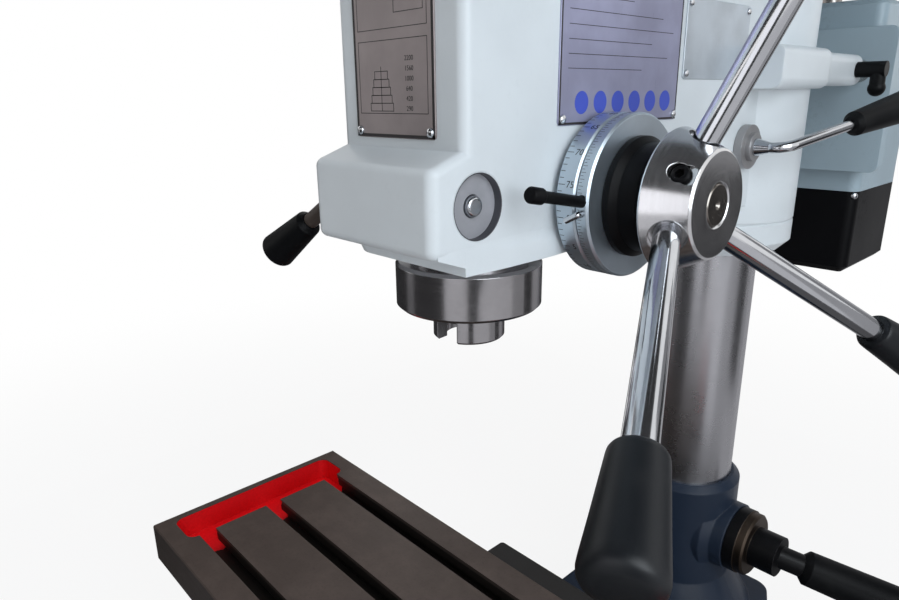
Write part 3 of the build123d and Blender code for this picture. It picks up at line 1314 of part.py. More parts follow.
def make_motor_pulley():
    """Motor pulley, largest step at the top."""
    return step_pulley(PULLEY_STEP_R, MOTOR_SHAFT_R + RUN_GAP, MOTOR_Y)


def make_drive_belt():
    """V belt on the middle steps: two half turns and two straight runs."""
    flank = tan(radians(BELT_HALF_ANGLE))
    z = PULLEY_BOTTOM_Z + (BELT_STEP_INDEX + 0.5) * PULLEY_STEP_H
    top = BELT_R + BELT_PROUD
    low = top - BELT_H
    half_top = BELT_TOP_W / 2 - FACE_GAP
    half_low = half_top - BELT_H * flank
    section = [(top, z - half_top), (top, z + half_top), (low, z + half_low), (low, z - half_low)]
    belt = prism(section, "y", SPINDLE_Y, MOTOR_Y)
    belt += prism([(-r, h) for r, h in section], "y", SPINDLE_Y, MOTOR_Y)
    ring = make_face(Polyline(*[(r, 0, h) for r, h in section], close=True))
    belt += Pos(0, MOTOR_Y, 0) * revolve(ring, Axis.Z, 180)
    belt += Pos(0, SPINDLE_Y, 0) * Rot(0, 0, 180) * revolve(ring, Axis.Z, 180)
    return belt


# Motor
def make_motor_body():
    """Motor case with shallow cooling fins on its back."""
    body = slab(MOTOR_W, MOTOR_D, MOTOR_CORNER_R, MOTOR_SPLIT_Z, MOTOR_TOP_Z, (0, MOTOR_Y))
    body = chamfer(body.faces().sort_by(Axis.Z)[-1].edges(), FIN_DEPTH)
    low = MOTOR_SPLIT_Z + FIN_PITCH
    high = MOTOR_TOP_Z - FIN_PITCH
    back = MOTOR_Y + MOTOR_D / 2
    for index in range(FIN_COUNT):
        x = (index - (FIN_COUNT - 1) / 2) * FIN_PITCH
        body -= block(x - FIN_W / 2, x + FIN_W / 2, back - FIN_DEPTH, back + OVERCUT, low, high)
    bore = (0, MOTOR_Y, MOTOR_SPLIT_Z + FIN_PITCH)
    return body - rod(MOTOR_SHAFT_R + RUN_GAP, bore, (0, MOTOR_Y, MOTOR_TOP_Z + OVERCUT))


def make_fan_cover():
    """Black fan cover under the motor, with its air slots."""
    cover = slab(MOTOR_W, MOTOR_D, MOTOR_CORNER_R, FAN_BOTTOM_Z, MOTOR_SPLIT_Z, (0, MOTOR_Y))
    cover = chamfer(cover.faces().sort_by(Axis.Z)[0].edges(), FAN_CHAMFER)
    for index in range(FIN_COUNT):
        y = MOTOR_Y + (index - (FIN_COUNT - 1) / 2) * FIN_PITCH
        half = FAN_GRILLE_R * cos(asin((y - MOTOR_Y) / FAN_GRILLE_R))
        low = FAN_BOTTOM_Z - OVERCUT
        cover -= block(-half, half, y - FIN_W / 2, y + FIN_W / 2, low, FAN_BOTTOM_Z + FIN_W)
    return cover


def make_motor_shaft():
    """Motor shaft."""
    top = PULLEY_BOTTOM_Z + len(PULLEY_STEP_R) * PULLEY_STEP_H
    return rod(MOTOR_SHAFT_R, (0, MOTOR_Y, MOTOR_SPLIT_Z + FIN_PITCH + ROOM), (0, MOTOR_Y, top))


def make_motor_bracket():
    """Upright plate behind the column that carries the motor on two feet."""
    half = BRACKET_PLATE_W / 2
    y1 = BRACKET_PLATE_Y + BRACKET_PLATE_T
    plate = block(-half, half, BRACKET_PLATE_Y, y1, BRACKET_PLATE_Z0, BRACKET_PLATE_Z1)
    plate = fillet(plate.edges().filter_by(Axis.Y), LUG_R)
    front = MOTOR_Y - MOTOR_D / 2
    for x in (-MOTOR_W / 4, MOTOR_W / 4):
        low = BRACKET_PLATE_Z0 + LUG_R
        plate += block(x - FIN_W, x + FIN_W, y1 - OVERCUT, front, low, BRACKET_PLATE_Z1 - LUG_R)
    for side in (-1, 1):
        x = side * ROD_X
        plate -= rod(ROD_R + RUN_GAP, (x, BRACKET_PLATE_Y - OVERCUT, ROD_Z), (x, y1 + OVERCUT, ROD_Z))
    return plate


def make_slide_rods():
    """Two rods that carry the motor bracket; the left one takes the crank pin."""
    end = BRACKET_PLATE_Y + BRACKET_PLATE_T
    front = ROD_BORE_Y + TENSION_TRAVEL + ROOM
    right = rod(ROD_R, (ROD_X, front, ROD_Z), (ROD_X, end, ROD_Z))
    left = rod(ROD_R, (-ROD_X, LEFT_ROD_FRONT_Y, ROD_Z), (-ROD_X, end, ROD_Z))
    gap = CRANK_PIN_R + CRANK_SLOT_GAP
    low = ROD_Z - ROD_R
    left -= block(-ROD_X - ROD_R, -ROD_X - ROOM, TENSION_Y - gap, TENSION_Y + gap, low, ROD_Z + ROD_R)
    return Compound(children=[right.solid(), left.solid()])


# Belt tension
def make_tension_shaft():
    """Cross shaft of the tension lever; the crank pin on its left end sits in the left slide rod."""
    disc = HALF_W + FACE_GAP
    right = disc + TENSION_DISC_T + TENSION_CUP_L
    inner = -ROD_X - ROD_R - FACE_GAP
    outer = inner - CRANK_T
    low = (TENSION_Y, TENSION_Z)
    high = (TENSION_Y, ROD_Z)
    shaft = rod(TENSION_R, (outer, *low), (right, *low))
    shaft += rod(TENSION_DISC_R, (disc, *low), (disc + TENSION_DISC_T, *low))
    shaft += rod(CRANK_R, (outer, *low), (inner, *low))
    shaft += rod(CRANK_EYE_R, (outer, *high), (inner, *high))
    half = CRANK_ARM_W / 2
    shaft += block(outer, inner, TENSION_Y - half, TENSION_Y + half, TENSION_Z, ROD_Z)
    shaft += rod(CRANK_PIN_R, (inner - OVERCUT, *high), (-ROD_X - 2 * ROOM, *high))
    return shaft - rod(TENSION_NECK_R + RUN_GAP, (right - TENSION_SEAT, *low), (right + OVERCUT, *low))


def tension_points():
    """Start, both ends of the bend, and tip of the tension lever rod."""
    root = (HALF_W + FACE_GAP + TENSION_DISC_T + TENSION_CUP_L - TENSION_SEAT, TENSION_Y, TENSION_Z)
    bend = (TENSION_BEND_X, TENSION_Y, TENSION_Z)
    chord = Vector(1, 0, 0) + Vector(*TENSION_WAY)
    elbow = step_along(bend, tuple(chord), TENSION_CHORD)
    return root, bend, elbow, step_along(elbow, TENSION_WAY, TENSION_ARM)


def make_tension_lever():
    """Chromed lever rod with a thick root and a smooth bend."""
    root, bend, elbow, tip = tension_points()
    length = bend[0] - root[0]
    profile = [(0, 0), (TENSION_NECK_R, 0), (TENSION_NECK_R, TENSION_SEAT + OVERCUT)]
    profile += [(TENSION_ROD_R, length), (0, length)]
    neck = turned(profile, root, (1, 0, 0))
    curve = TangentArc(bend, elbow, tangent=(1, 0, 0))
    bow = sweep(Plane(origin=bend, z_dir=(1, 0, 0)) * Circle(TENSION_ROD_R), path=curve)
    return neck + bow + rod(TENSION_ROD_R, elbow, tip)


def make_tension_grip():
    """Black tapered grip of the tension lever."""
    tip = tension_points()[-1]
    return grip(TENSION_GRIP_R0, TENSION_GRIP_R1, TENSION_GRIP_L, tip, TENSION_WAY)


def make_rod_lock():
    """Elbow lever that locks the right slide rod."""
    at = (ROD_LOCK_Y, ROD_Z)
    face = LUG_END_X + FACE_GAP
    lever = rod(ROD_LOCK_R, (ROD_X + ROD_R + FACE_GAP, *at), (face, *at))
    lever += rod(ROD_LOCK_HUB_R, (face, *at), (face + ROD_LOCK_HUB_L, *at))
    elbow = (face + ROD_LOCK_HUB_L - ROD_LOCK_R, *at)
    end = tuple(Vector(*elbow) + Vector(*ROD_LOCK_ARM))
    lever += rod(ROD_LOCK_R, elbow, end)
    return lever + Pos(*end) * Sphere(ROD_LOCK_KNOB_R)


# Belt cover
def cover_outline(grow, z0, z1):
    """Upright stadium round both pulleys."""
    half = COVER_R + grow
    shape = rod(half, (0, SPINDLE_Y, z0), (0, SPINDLE_Y, z1)) + rod(half, (0, MOTOR_Y, z0), (0, MOTOR_Y, z1))
    return shape + block(-half, half, SPINDLE_Y, MOTOR_Y, z0, z1)


def make_belt_pan():
    """Pan of the belt cover, bolted to the top of the head."""
    rim = HEAD_TOP_Z + PAN_H
    floor = HEAD_TOP_Z + COVER_WALL
    under = HEAD_TOP_Z - OVERCUT
    pan = cover_outline(0, HEAD_TOP_Z, rim) - cover_outline(-COVER_WALL, floor, rim + OVERCUT)
    pan -= rod(PAN_HOLE_R, (0, SPINDLE_Y, under), (0, SPINDLE_Y, rim))
    half = MOTOR_SHAFT_R + ROOM
    pan -= block(-half, half, MOTOR_Y - SHAFT_SLOT_FRONT, MOTOR_Y + SHAFT_SLOT_REAR, under, floor + OVERCUT)
    return pan


def make_belt_lid():
    """Hinged lid of the belt cover with a rounded top edge and a finger lip."""
    low = HEAD_TOP_Z + PAN_H + LID_GAP
    solid = cover_outline(0, low, COVER_TOP_Z)
    lid = fillet(solid.faces().sort_by(Axis.Z)[-1].edges(), COVER_EDGE_R)
    inner = cover_outline(-COVER_WALL, low - OVERCUT, COVER_TOP_Z - COVER_WALL)
    lid -= fillet(inner.faces().sort_by(Axis.Z)[-1].edges(), COVER_EDGE_R - COVER_WALL)
    mid = (SPINDLE_Y + MOTOR_Y) / 2
    lip_z = low + LID_LIP_RISE
    half = LID_LIP_W / 2
    lid += block(COVER_R - OVERCUT, COVER_R + LID_LIP_OUT, mid - half, mid + half, lip_z, lip_z + LID_LIP_T)
    hinge_x, hinge_z = hinge_axis()
    for spot in HINGE_SPOTS:
        y = SPINDLE_Y + spot
        end = y + HINGE_KNUCKLE_L
        leaf = rod(HINGE_R, (hinge_x, y, hinge_z), (hinge_x, end, hinge_z))
        leaf += block(hinge_x, -COVER_R + OVERCUT, y, end, hinge_z + LID_GAP, hinge_z + HINGE_R)
        bore = (hinge_x, y - OVERCUT, hinge_z)
        lid += leaf - rod(HINGE_PIN_R + RUN_GAP, bore, (hinge_x, end + OVERCUT, hinge_z))
    return lid


def hinge_axis():
    """X and Z of the lid hinge, on the left side of the cover."""
    return -COVER_R - HINGE_OFFSET, HEAD_TOP_Z + PAN_H + LID_GAP / 2


def make_lid_hinges():
    """Fixed knuckles and pins of the two lid hinges."""
    hinge_x, hinge_z = hinge_axis()
    pieces = []
    for spot in HINGE_SPOTS:
        y0 = SPINDLE_Y + spot
        y1 = y0 + HINGE_KNUCKLE_L
        far = y1 + FACE_GAP + HINGE_KNUCKLE_L
        pin = rod(HINGE_PIN_R, (hinge_x, y0, hinge_z), (hinge_x, far, hinge_z))
        knuckle = rod(HINGE_R, (hinge_x, y1 + FACE_GAP, hinge_z), (hinge_x, far, hinge_z))
        leaf = block(hinge_x, -COVER_R, y1 + FACE_GAP, far, hinge_z - HINGE_R, hinge_z - LID_GAP)
        pieces.append((pin + knuckle + leaf).solid())
    return Compound(children=pieces)


# Switch box
def make_switch_box():
    """Switch box on the left wall, with two button wells and a cable gland."""
    x1 = -HALF_W
    x0 = x1 - SWITCH_T
    box = block(x0, x1, SWITCH_Y0, SWITCH_Y1, SWITCH_Z0, SWITCH_Z1)
    box = fillet(box.faces().sort_by(Axis.X)[0].edges(), SWITCH_R)
    for y in button_spots():
        centre = (y, (SWITCH_Z0 + SWITCH_Z1) / 2)
        well = x0 + BUTTON_SINK + BUTTON_TRAVEL + ROOM
        box -= rod(BUTTON_STEM_R + RUN_GAP, (x0 - OVERCUT, *centre), (well, *centre))
    gland = ((x0 + x1) / 2, (SWITCH_Y0 + SWITCH_Y1) / 2)
    box += rod(GLAND_R, (*gland, SWITCH_Z0 - GLAND_L), (*gland, SWITCH_Z0 + OVERCUT))
    bore = (*gland, SWITCH_Z0 - GLAND_L - OVERCUT)
    return box - rod(GLAND_BORE_R, bore, (*gland, SWITCH_Z0 + GLAND_R))


def button_spots():
    """Y of the start and stop buttons."""
    mid = (SWITCH_Y0 + SWITCH_Y1) / 2
    return mid - BUTTON_DY, mid + BUTTON_DY


def make_button(y):
    """Push button with a wide cap on a stem in its well."""
    x0 = -HALF_W - SWITCH_T
    centre = (y, (SWITCH_Z0 + SWITCH_Z1) / 2)
    cap_in = x0 - BUTTON_TRAVEL - FACE_GAP
    cap_out = cap_in - BUTTON_T
    cap = rod(BUTTON_R, (cap_out, *centre), (cap_in, *centre))
    cap = fillet(cap.faces().sort_by(Axis.X)[0].edges(), BUTTON_T / 3)
    return cap + rod(BUTTON_STEM_R, (cap_in - OVERCUT, *centre), (x0 + BUTTON_SINK, *centre))


def table_wheel_face():
    """Where the table handwheel sits on its bracket."""
    return (TABLE_L / 2 + BRACKET_T, SPINDLE_Y, TABLE_SCREW_Z)


def saddle_wheel_face():
    """Where the saddle handwheel sits on its bracket."""
    return (0, WAY_FRONT_Y - BRACKET_T, SADDLE_SCREW_Z)


def all_parts():
    """Every node's name with its solid or group of solids."""
    start_y, stop_y = button_spots()
    parts = {
        "base": make_base(),
        "column": make_column(),
        "column_clamp": make_column_clamp(),
        "column_clamp_grip": make_column_clamp_grip(),
        "saddle": make_saddle(),
        "saddle_gibs": make_saddle_gibs(),
        "table": make_table(),
        "table_screw": make_table_screw(),
        "table_nut": make_table_nut(),
        "table_brackets": make_table_brackets(),
        "table_handwheel": make_handwheel(table_wheel_face(), (1, 0, 0)),
        "table_wheel_grip": make_wheel_grip(table_wheel_face(), (1, 0, 0)),
        "saddle_screw": make_saddle_screw(),
        "saddle_nut": make_saddle_nut(),
        "saddle_bracket": make_saddle_bracket(),
        "saddle_handwheel": make_handwheel(saddle_wheel_face(), (0, -1, 0)),
        "saddle_wheel_grip": make_wheel_grip(saddle_wheel_face(), (0, -1, 0)),
        "head_casting": make_head(),
        "quill": make_quill(),
        "quill_ring": make_quill_ring(),
        "quill_rack": make_quill_rack(),
        "spindle": make_spindle(),
        "spindle_bearings": make_spindle_bearings(),
        "quill_lock_cotter": make_lock_cotter(),
        "quill_lock_bolt": make_lock_bolt(),
        "quill_lock_grip": make_lock_grip(),
        "feed_shaft": make_feed_shaft(),
        "feed_bush": make_feed_bush(),
        "dial_ring": make_dial_ring(),
        "dial_screw": make_dial_screw(),
        "dial_pointer": make_dial_pointer(),
        "dial_bell": make_dial_bell(),
        "feed_hub": make_feed_hub(),
        "return_spring_case": make_spring_case(),
        "return_spring": make_return_spring(),
        "spindle_pulley": make_spindle_pulley(),
        "pulley_bearings": make_pulley_bearings(),
        "motor_pulley": make_motor_pulley(),
        "drive_belt": make_drive_belt(),
        "motor_body": make_motor_body(),
        "motor_fan_cover": make_fan_cover(),
        "motor_shaft": make_motor_shaft(),
        "motor_bracket": make_motor_bracket(),
        "slide_rods": make_slide_rods(),
        "tension_shaft": make_tension_shaft(),
        "tension_lever": make_tension_lever(),
        "tension_grip": make_tension_grip(),
        "rod_lock_lever": make_rod_lock(),
        "belt_pan": make_belt_pan(),
        "belt_lid": make_belt_lid(),
        "lid_hinges": make_lid_hinges(),
        "switch_box": make_switch_box(),
        "start_button": make_button(start_y),
        "stop_button": make_button(stop_y),
    }
    for name, turn in zip("abc", HANDLE_TURNS):
        parts[f"feed_handle_{name}"] = make_feed_handle(turn)
        parts[f"feed_grip_{name}"] = make_feed_grip(turn)
    return parts


os.makedirs("parts", exist_ok=True)
for node, shape in all_parts().items():
    export_step(shape, f"parts/{node}.step")
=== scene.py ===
"""Looks of a cross table drill press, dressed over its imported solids.

Metres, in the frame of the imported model: -Y is the front, +X the operator's
right, +Z up, and the origin the middle of the four base bolts. The fine sizes
of the finishes and the numbers in profile tables are millimetres.
"""

import logging
import math
from dataclasses import dataclass, replace
from enum import Enum
from typing import Any, Optional, Protocol, Sequence, Union

import bmesh
import bpy
from mathutils import Matrix, Vector


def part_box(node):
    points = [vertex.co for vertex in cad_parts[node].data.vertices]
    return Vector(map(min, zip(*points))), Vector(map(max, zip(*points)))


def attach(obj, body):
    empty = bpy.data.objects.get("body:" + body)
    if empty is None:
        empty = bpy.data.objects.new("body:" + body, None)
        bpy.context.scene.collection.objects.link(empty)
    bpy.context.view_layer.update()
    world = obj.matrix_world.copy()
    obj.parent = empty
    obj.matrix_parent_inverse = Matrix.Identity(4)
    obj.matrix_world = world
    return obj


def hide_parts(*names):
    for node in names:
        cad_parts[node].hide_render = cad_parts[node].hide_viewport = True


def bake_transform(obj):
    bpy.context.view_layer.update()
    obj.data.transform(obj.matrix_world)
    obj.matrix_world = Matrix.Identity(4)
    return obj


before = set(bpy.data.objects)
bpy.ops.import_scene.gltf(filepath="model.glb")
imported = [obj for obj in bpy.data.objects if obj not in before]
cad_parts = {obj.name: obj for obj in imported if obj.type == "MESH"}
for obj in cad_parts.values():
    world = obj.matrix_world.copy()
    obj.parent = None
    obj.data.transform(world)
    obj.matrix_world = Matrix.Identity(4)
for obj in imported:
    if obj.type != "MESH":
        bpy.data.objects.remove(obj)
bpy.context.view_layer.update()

LOG = logging.getLogger("drill_press")
MM = 0.001
Pair = tuple[float, float]
Point = tuple[float, float, float]
Color = tuple[float, float, float]
Screen = tuple[int, int, int]
Noise = tuple[float, ...]
Profile = Sequence[Pair]
Value = Union["Wire", float, Sequence[float]]

RIGHT, LEFT = (1, 0, 0), (-1, 0, 0)
BACK, FRONT = (0, 1, 0), (0, -1, 0)
UP = (0, 0, 1)
SIDES = (-1, 1)
WHITE: Color = (1, 1, 1)
BARE_EDGE: Color = (0.3, 0.29, 0.28)
# Dust colour, also the colour of a sheen painted along moulded edges.
DUST_AND_SHEEN: Color = (0.25, 0.24, 0.23)
NOISE_MIDDLE = 0.5
EDGE_SAMPLES = 6
CORNER_STEPS = 6
BROKEN_EDGE = 0.3
LETTER_STEPS = 3


def tone(red: int, green: int, blue: int) -> Color:
    """Turns a screen colour, 0 to 255 in each channel, into a linear one."""
    shares = [channel / 255 for channel in (red, green, blue)]
    return tuple(s / 12.92 if s <= 0.04045 else ((s + 0.055) / 1.055) ** 2.4 for s in shares)


def smooth(share: float) -> float:
    """Rises smoothly from 0 to 1 with a share."""
    held = min(1.0, max(0.0, share))
    return held * held * (3 - 2 * held)


def middle(node: str) -> Vector:
    """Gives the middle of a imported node's box."""
    low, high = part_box(node)
    return (low + high) / 2


def spoke(degrees: float) -> Vector:
    """Gives the direction at a turn about the X axis."""
    turn = math.radians(degrees)
    return Vector((0.0, math.cos(turn), math.sin(turn)))


def scaled(profile: Profile, size: float) -> list[Pair]:
    """Gives a profile times a size."""
    return [(radius * size, height * size) for radius, height in profile]


def add(name: str, data: bpy.types.ID) -> bpy.types.Object:
    """Makes an object in the scene.

    Args:
        name: Its name.
        data: Its mesh, light or camera.

    Returns:
        The object.
    """
    thing = bpy.data.objects.new(name, data)
    bpy.context.scene.collection.objects.link(thing)
    return thing


class Wire:
    """A socket on which arithmetic adds Math nodes."""

    def __init__(self, graph: "Graph", socket: bpy.types.NodeSocket) -> None:
        """Keeps the socket and the graph it is in."""
        self.graph = graph
        self.socket = socket

    def __add__(self, other: Value) -> "Wire":
        """Adds."""
        return self.graph.math("ADD", self, other)

    __radd__ = __add__

    def __sub__(self, other: Value) -> "Wire":
        """Subtracts."""
        return self.graph.math("SUBTRACT", self, other)

    def __rsub__(self, other: Value) -> "Wire":
        """Is subtracted."""
        return self.graph.math("SUBTRACT", other, self)

    def __mul__(self, other: Value) -> "Wire":
        """Multiplies."""
        return self.graph.math("MULTIPLY", self, other)

    __rmul__ = __mul__

    def __gt__(self, other: Value) -> "Wire":
        """Gives 1 where the value is greater."""
        return self.graph.math("GREATER_THAN", self, other)

    def __lt__(self, other: Value) -> "Wire":
        """Gives 1 where the value is less."""
        return self.graph.math("LESS_THAN", self, other)

    def __abs__(self) -> "Wire":
        """Drops the sign."""
        return self.graph.math("ABSOLUTE", self)


class Graph:
    """A node tree with a maker for each node that the finishes use."""

    def __init__(self, tree: bpy.types.NodeTree) -> None:
        """Keeps the tree that is wired."""
        self.tree = tree

    def make(
        self,
        kind: str,
        settings: Optional[dict[str, Any]] = None,
        sockets: Optional[dict[Union[int, str], Value]] = None,
        out: Union[int, str] = 0,
    ) -> Wire:
        """Makes a node of any kind.

        Args:
            kind: The node's type.
            settings: Its settings, set first.
            sockets: Values or links of its inputs.
            out: The output that is wanted.

        Returns:
            The wanted output.
        """
        node = self.tree.nodes.new(kind)
        for key, setting in (settings or {}).items():
            setattr(node, key, setting)
        for key, value in (sockets or {}).items():
            self.feed(node.inputs[key], value)
        return Wire(self, node.outputs[out])

    def feed(self, socket: bpy.types.NodeSocket, value: Value) -> None:
        """Links a wire to an input, or sets the input's value.

        Args:
            socket: The input.
            value: A wire, a number, a colour or a vector.
        """
        if isinstance(value, Wire):
            self.tree.links.new(value.socket, socket)
        elif socket.type == "RGBA":
            socket.default_value = (*value[:3], 1.0)
        else:
            socket.default_value = value

    def math(self, operation: str, *values: Value) -> Wire:
        """Adds a Math node."""
        return self.make("ShaderNodeMath", {"operation": operation}, dict(enumerate(values)))

    def vector(self, operation: str, *values: Value, out: int = 0) -> Wire:
        """Adds a Vector Math node; output 1 is its number."""
        sockets = dict(enumerate(values))
        return self.make("ShaderNodeVectorMath", {"operation": operation}, sockets, out)

    def mix(self, factor: Value, first: Value, second: Value) -> Wire:
        """Mixes two colours."""
        sockets = {0: factor, 6: first, 7: second}
        return self.make("ShaderNodeMix", {"data_type": "RGBA"}, sockets, 2)

    def ramp(self, value: Value, low: float, high: float) -> Wire:
        """Rises smoothly from 0 to 1 between two values."""
        settings = {"interpolation_type": "SMOOTHSTEP"}
        return self.make("ShaderNodeMapRange", settings, {0: value, 1: low, 2: high})

    def point(self) -> Wire:
        """Gives the place on the piece, in metres."""
        return self.make("ShaderNodeTexCoord", out="Object")

    def split(self, vector: Wire) -> list[Wire]:
        """Gives a vector's three numbers."""
        node = self.make("ShaderNodeSeparateXYZ", None, {0: vector}).socket.node
        return [Wire(self, output) for output in node.outputs]

    def join(self, x: Value, y: Value, z: Value) -> Wire:
        """Makes a vector of three numbers."""
        return self.make("ShaderNodeCombineXYZ", None, {0: x, 1: y, 2: z})

    def noise(self, place: Wire, scale: float, detail: float = 2.0, rough: float = 0.5) -> Wire:
        """Gives cloudy noise between 0 and 1."""
        sockets = {"Vector": place, "Scale": scale, "Detail": detail, "Roughness": rough}
        return self.make("ShaderNodeTexNoise", None, sockets)

    def sway(self, noise: Wire, share: float) -> Wire:
        """Gives a share of a noise, up and down from its middle."""
        return (noise - NOISE_MIDDLE) * share

    def edges(self, radius: float) -> tuple[Wire, Wire]:
        """Rounds the sharp edges in the shading.

        Args:
            radius: Radius of the rounding, in millimetres.

        Returns:
            The rounded normal, and a mask of the edges.
        """
        soft = self.make("ShaderNodeBevel", {"samples": EDGE_SAMPLES}, {"Radius": radius * MM})
        true = self.make("ShaderNodeNewGeometry", out="True Normal")
        return soft, 1 - self.vector("DOT_PRODUCT", soft, true, out=1)

    def relief(self, height: Wire, depth: float, normal: Wire) -> Wire:
        """Raises a surface in the shading by a height times a depth in millimetres."""
        sockets = {"Distance": depth * MM, "Height": height, "Normal": normal}
        return self.make("ShaderNodeBump", None, sockets)

    def surface(self, sockets: dict[str, Value]) -> Wire:
        """Feeds the tree's surface shader.

        Args:
            sockets: Values or links of its inputs.

        Returns:
            The shader.
        """
        shader = self.tree.nodes["Principled BSDF"]
        for key, value in sockets.items():
            self.feed(shader.inputs[key], value)
        return Wire(self, shader.outputs[0])

    def glow(self, color: Color) -> Wire:
        """Gives a shader that shines in a colour."""
        return self.make("ShaderNodeEmission", None, {"Color": color, "Strength": 1.0})

    def close(self, shader: Wire) -> None:
        """Makes a shader the material's surface."""
        self.feed(self.tree.nodes["Material Output"].inputs["Surface"], shader)


def new_material(name: str) -> tuple[bpy.types.Material, Graph]:
    """Makes a material.

    Args:
        name: Its name.

    Returns:
        The material and its graph.
    """
    material = bpy.data.materials.new(name)
    material.use_nodes = True
    return material, Graph(material.node_tree)


class Lay(Enum):
    """Which way a tool has marked a metal surface."""

    TURNED_X = 0
    TURNED_Y = 1
    TURNED_Z = 2
    GROUND_X = 3
    GROUND_Y = 4
    GROUND_Z = 5
    POLISHED = 6


@dataclass(frozen=True)
class Finish:
    """What every finish has: a name, a screen colour, a roughness and rounded edges."""

    name: str
    color: Screen
    roughness: float = 0.4
    edge: float = 0.4

    def material(self) -> bpy.types.Material:
        """Makes the finish's material when it is first asked for.

        Returns:
            The material.
        """
        found = bpy.data.materials.get(self.name)
        if found is None:
            found, graph = new_material(self.name)
            self.paint(graph)
        return found

    def paint(self, graph: Graph) -> None:
        """Wires the finish into a new graph."""
        raise NotImplementedError

    def shaded(self, share: float = 1.0) -> Color:
        """Gives the linear colour, made darker or lighter by a share."""
        return tuple(channel * share for channel in tone(*self.color))


@dataclass(frozen=True)
class Coating(Finish):
    """A finish that covers what is under it, with a specular level."""

    specular: float = 0.5


@dataclass(frozen=True)
class Enamel(Coating):
    """Sprayed paint over a casting or sheet metal."""

    shade: float = 0.05
    peel: float = 0.02
    cast: float = 0.12
    coat: float = 0.2
    coat_roughness: float = 0.18
    wear: float = 0.25
    wear_span: Pair = (0.06, 0.2)
    grime: float = 0.25
    grime_span: Pair = (0.3, 0.42)
    grime_tone: float = 0.55
    grime_roughness: float = 0.3
    cloud_span: Pair = (0.3, 0.7)
    cloud_roughness: float = 0.2
    clouds: Noise = (11.0, 4.0)
    peels: Noise = (520.0,)
    waves: Noise = (75.0, 3.0)
    specks: Noise = (240.0, 4.0, 0.7)

    def paint(self, graph: Graph) -> None:
        """Wires cloudy paint with orange peel, casting waves and rubbed edges.

        Args:
            graph: The graph that is wired.
        """
        place = graph.point()
        cloud = graph.noise(place, *self.clouds)
        speck = graph.noise(place, *self.specks)
        soft, rim = graph.edges(self.edge)
        dirt = graph.ramp(speck * cloud, *self.grime_span) * self.grime
        rubbed = graph.ramp(rim * speck, *self.wear_span) * self.wear
        tints = self.shaded(1 - self.shade), self.shaded(1 + self.shade)
        color = graph.mix(graph.ramp(cloud, *self.cloud_span), *tints)
        color = graph.mix(dirt, color, self.shaded(self.grime_tone))
        wave = graph.relief(graph.noise(place, *self.waves), self.cast, soft)
        rough = self.roughness + graph.sway(cloud, self.cloud_roughness)
        graph.surface({
            "Base Color": graph.mix(rubbed, color, BARE_EDGE),
            "Roughness": rough + dirt * self.grime_roughness,
            "Coat Weight": self.coat * (1 - dirt),
            "Coat Roughness": self.coat_roughness,
            "Specular IOR Level": self.specular,
            "Normal": graph.relief(graph.noise(place, *self.peels), self.peel, wave),
        })


@dataclass(frozen=True)
class Metal(Finish):
    """Bare metal with the marks of the tool that cut it, turned about a node's middle or ground."""

    lay: Lay = Lay.POLISHED
    about: str = ""
    density: float = 1500.0
    depth: float = 0.006
    streak: float = 0.14
    stain: float = 0.25
    bright: float = 1.0
    metallic: float = 1.0
    stretch: float = 0.012
    sweep: float = 1.2
    marks: Noise = (1.0, 3.0)
    stains: Noise = (34.0, 5.0, 0.6)
    stain_span: Pair = (0.35, 0.75)
    smears: Noise = (60.0, 3.0)
    smear: float = 0.1
    rubbed: float = 0.1

    def grain(self, graph: Graph, place: Wire) -> Wire:
        """Gives the tool marks.

        Args:
            graph: The graph that is wired.
            place: The place on the piece.

        Returns:
            Noise drawn out along the lay.
        """
        if self.lay is Lay.POLISHED:
            return graph.noise(place, self.density)
        axis = self.lay.value
        if axis >= Lay.GROUND_X.value:
            scales = [self.density] * 3
            scales[axis - Lay.GROUND_X.value] *= self.stretch
            return graph.noise(graph.vector("MULTIPLY", place, scales), *self.marks)
        parts, centre = graph.split(place), list(middle(self.about))
        along = parts.pop(axis)
        del centre[axis]
        off_a, off_b = (part - shift for part, shift in zip(parts, centre))
        radius = graph.math("SQRT", off_a * off_a + off_b * off_b)
        turn = graph.math("ARCTAN2", off_b, off_a)
        drawn = graph.join(along * self.density, radius * self.density, turn * self.sweep)
        return graph.noise(drawn, *self.marks)

    def tint(self, graph: Graph, place: Wire) -> Wire:
        """Gives the colour, clouded by stains."""
        cloud = graph.ramp(graph.noise(place, *self.stains), *self.stain_span)
        return graph.mix(cloud, self.shaded(1 - self.stain), self.shaded(self.bright))

    def paint(self, graph: Graph) -> None:
        """Wires bare metal with tool marks and faint stains.

        Args:
            graph: The graph that is wired.
        """
        place = graph.point()
        grain = self.grain(graph, place)
        smear = graph.noise(place, *self.smears)
        soft, rim = graph.edges(self.edge)
        rough = self.roughness + graph.sway(grain, self.streak) + graph.sway(smear, self.smear)
        graph.surface({
            "Base Color": self.tint(graph, place),
            "Metallic": self.metallic,
            "Roughness": rough - rim * self.rubbed,
            "Normal": graph.relief(grain, self.depth, soft),
        })


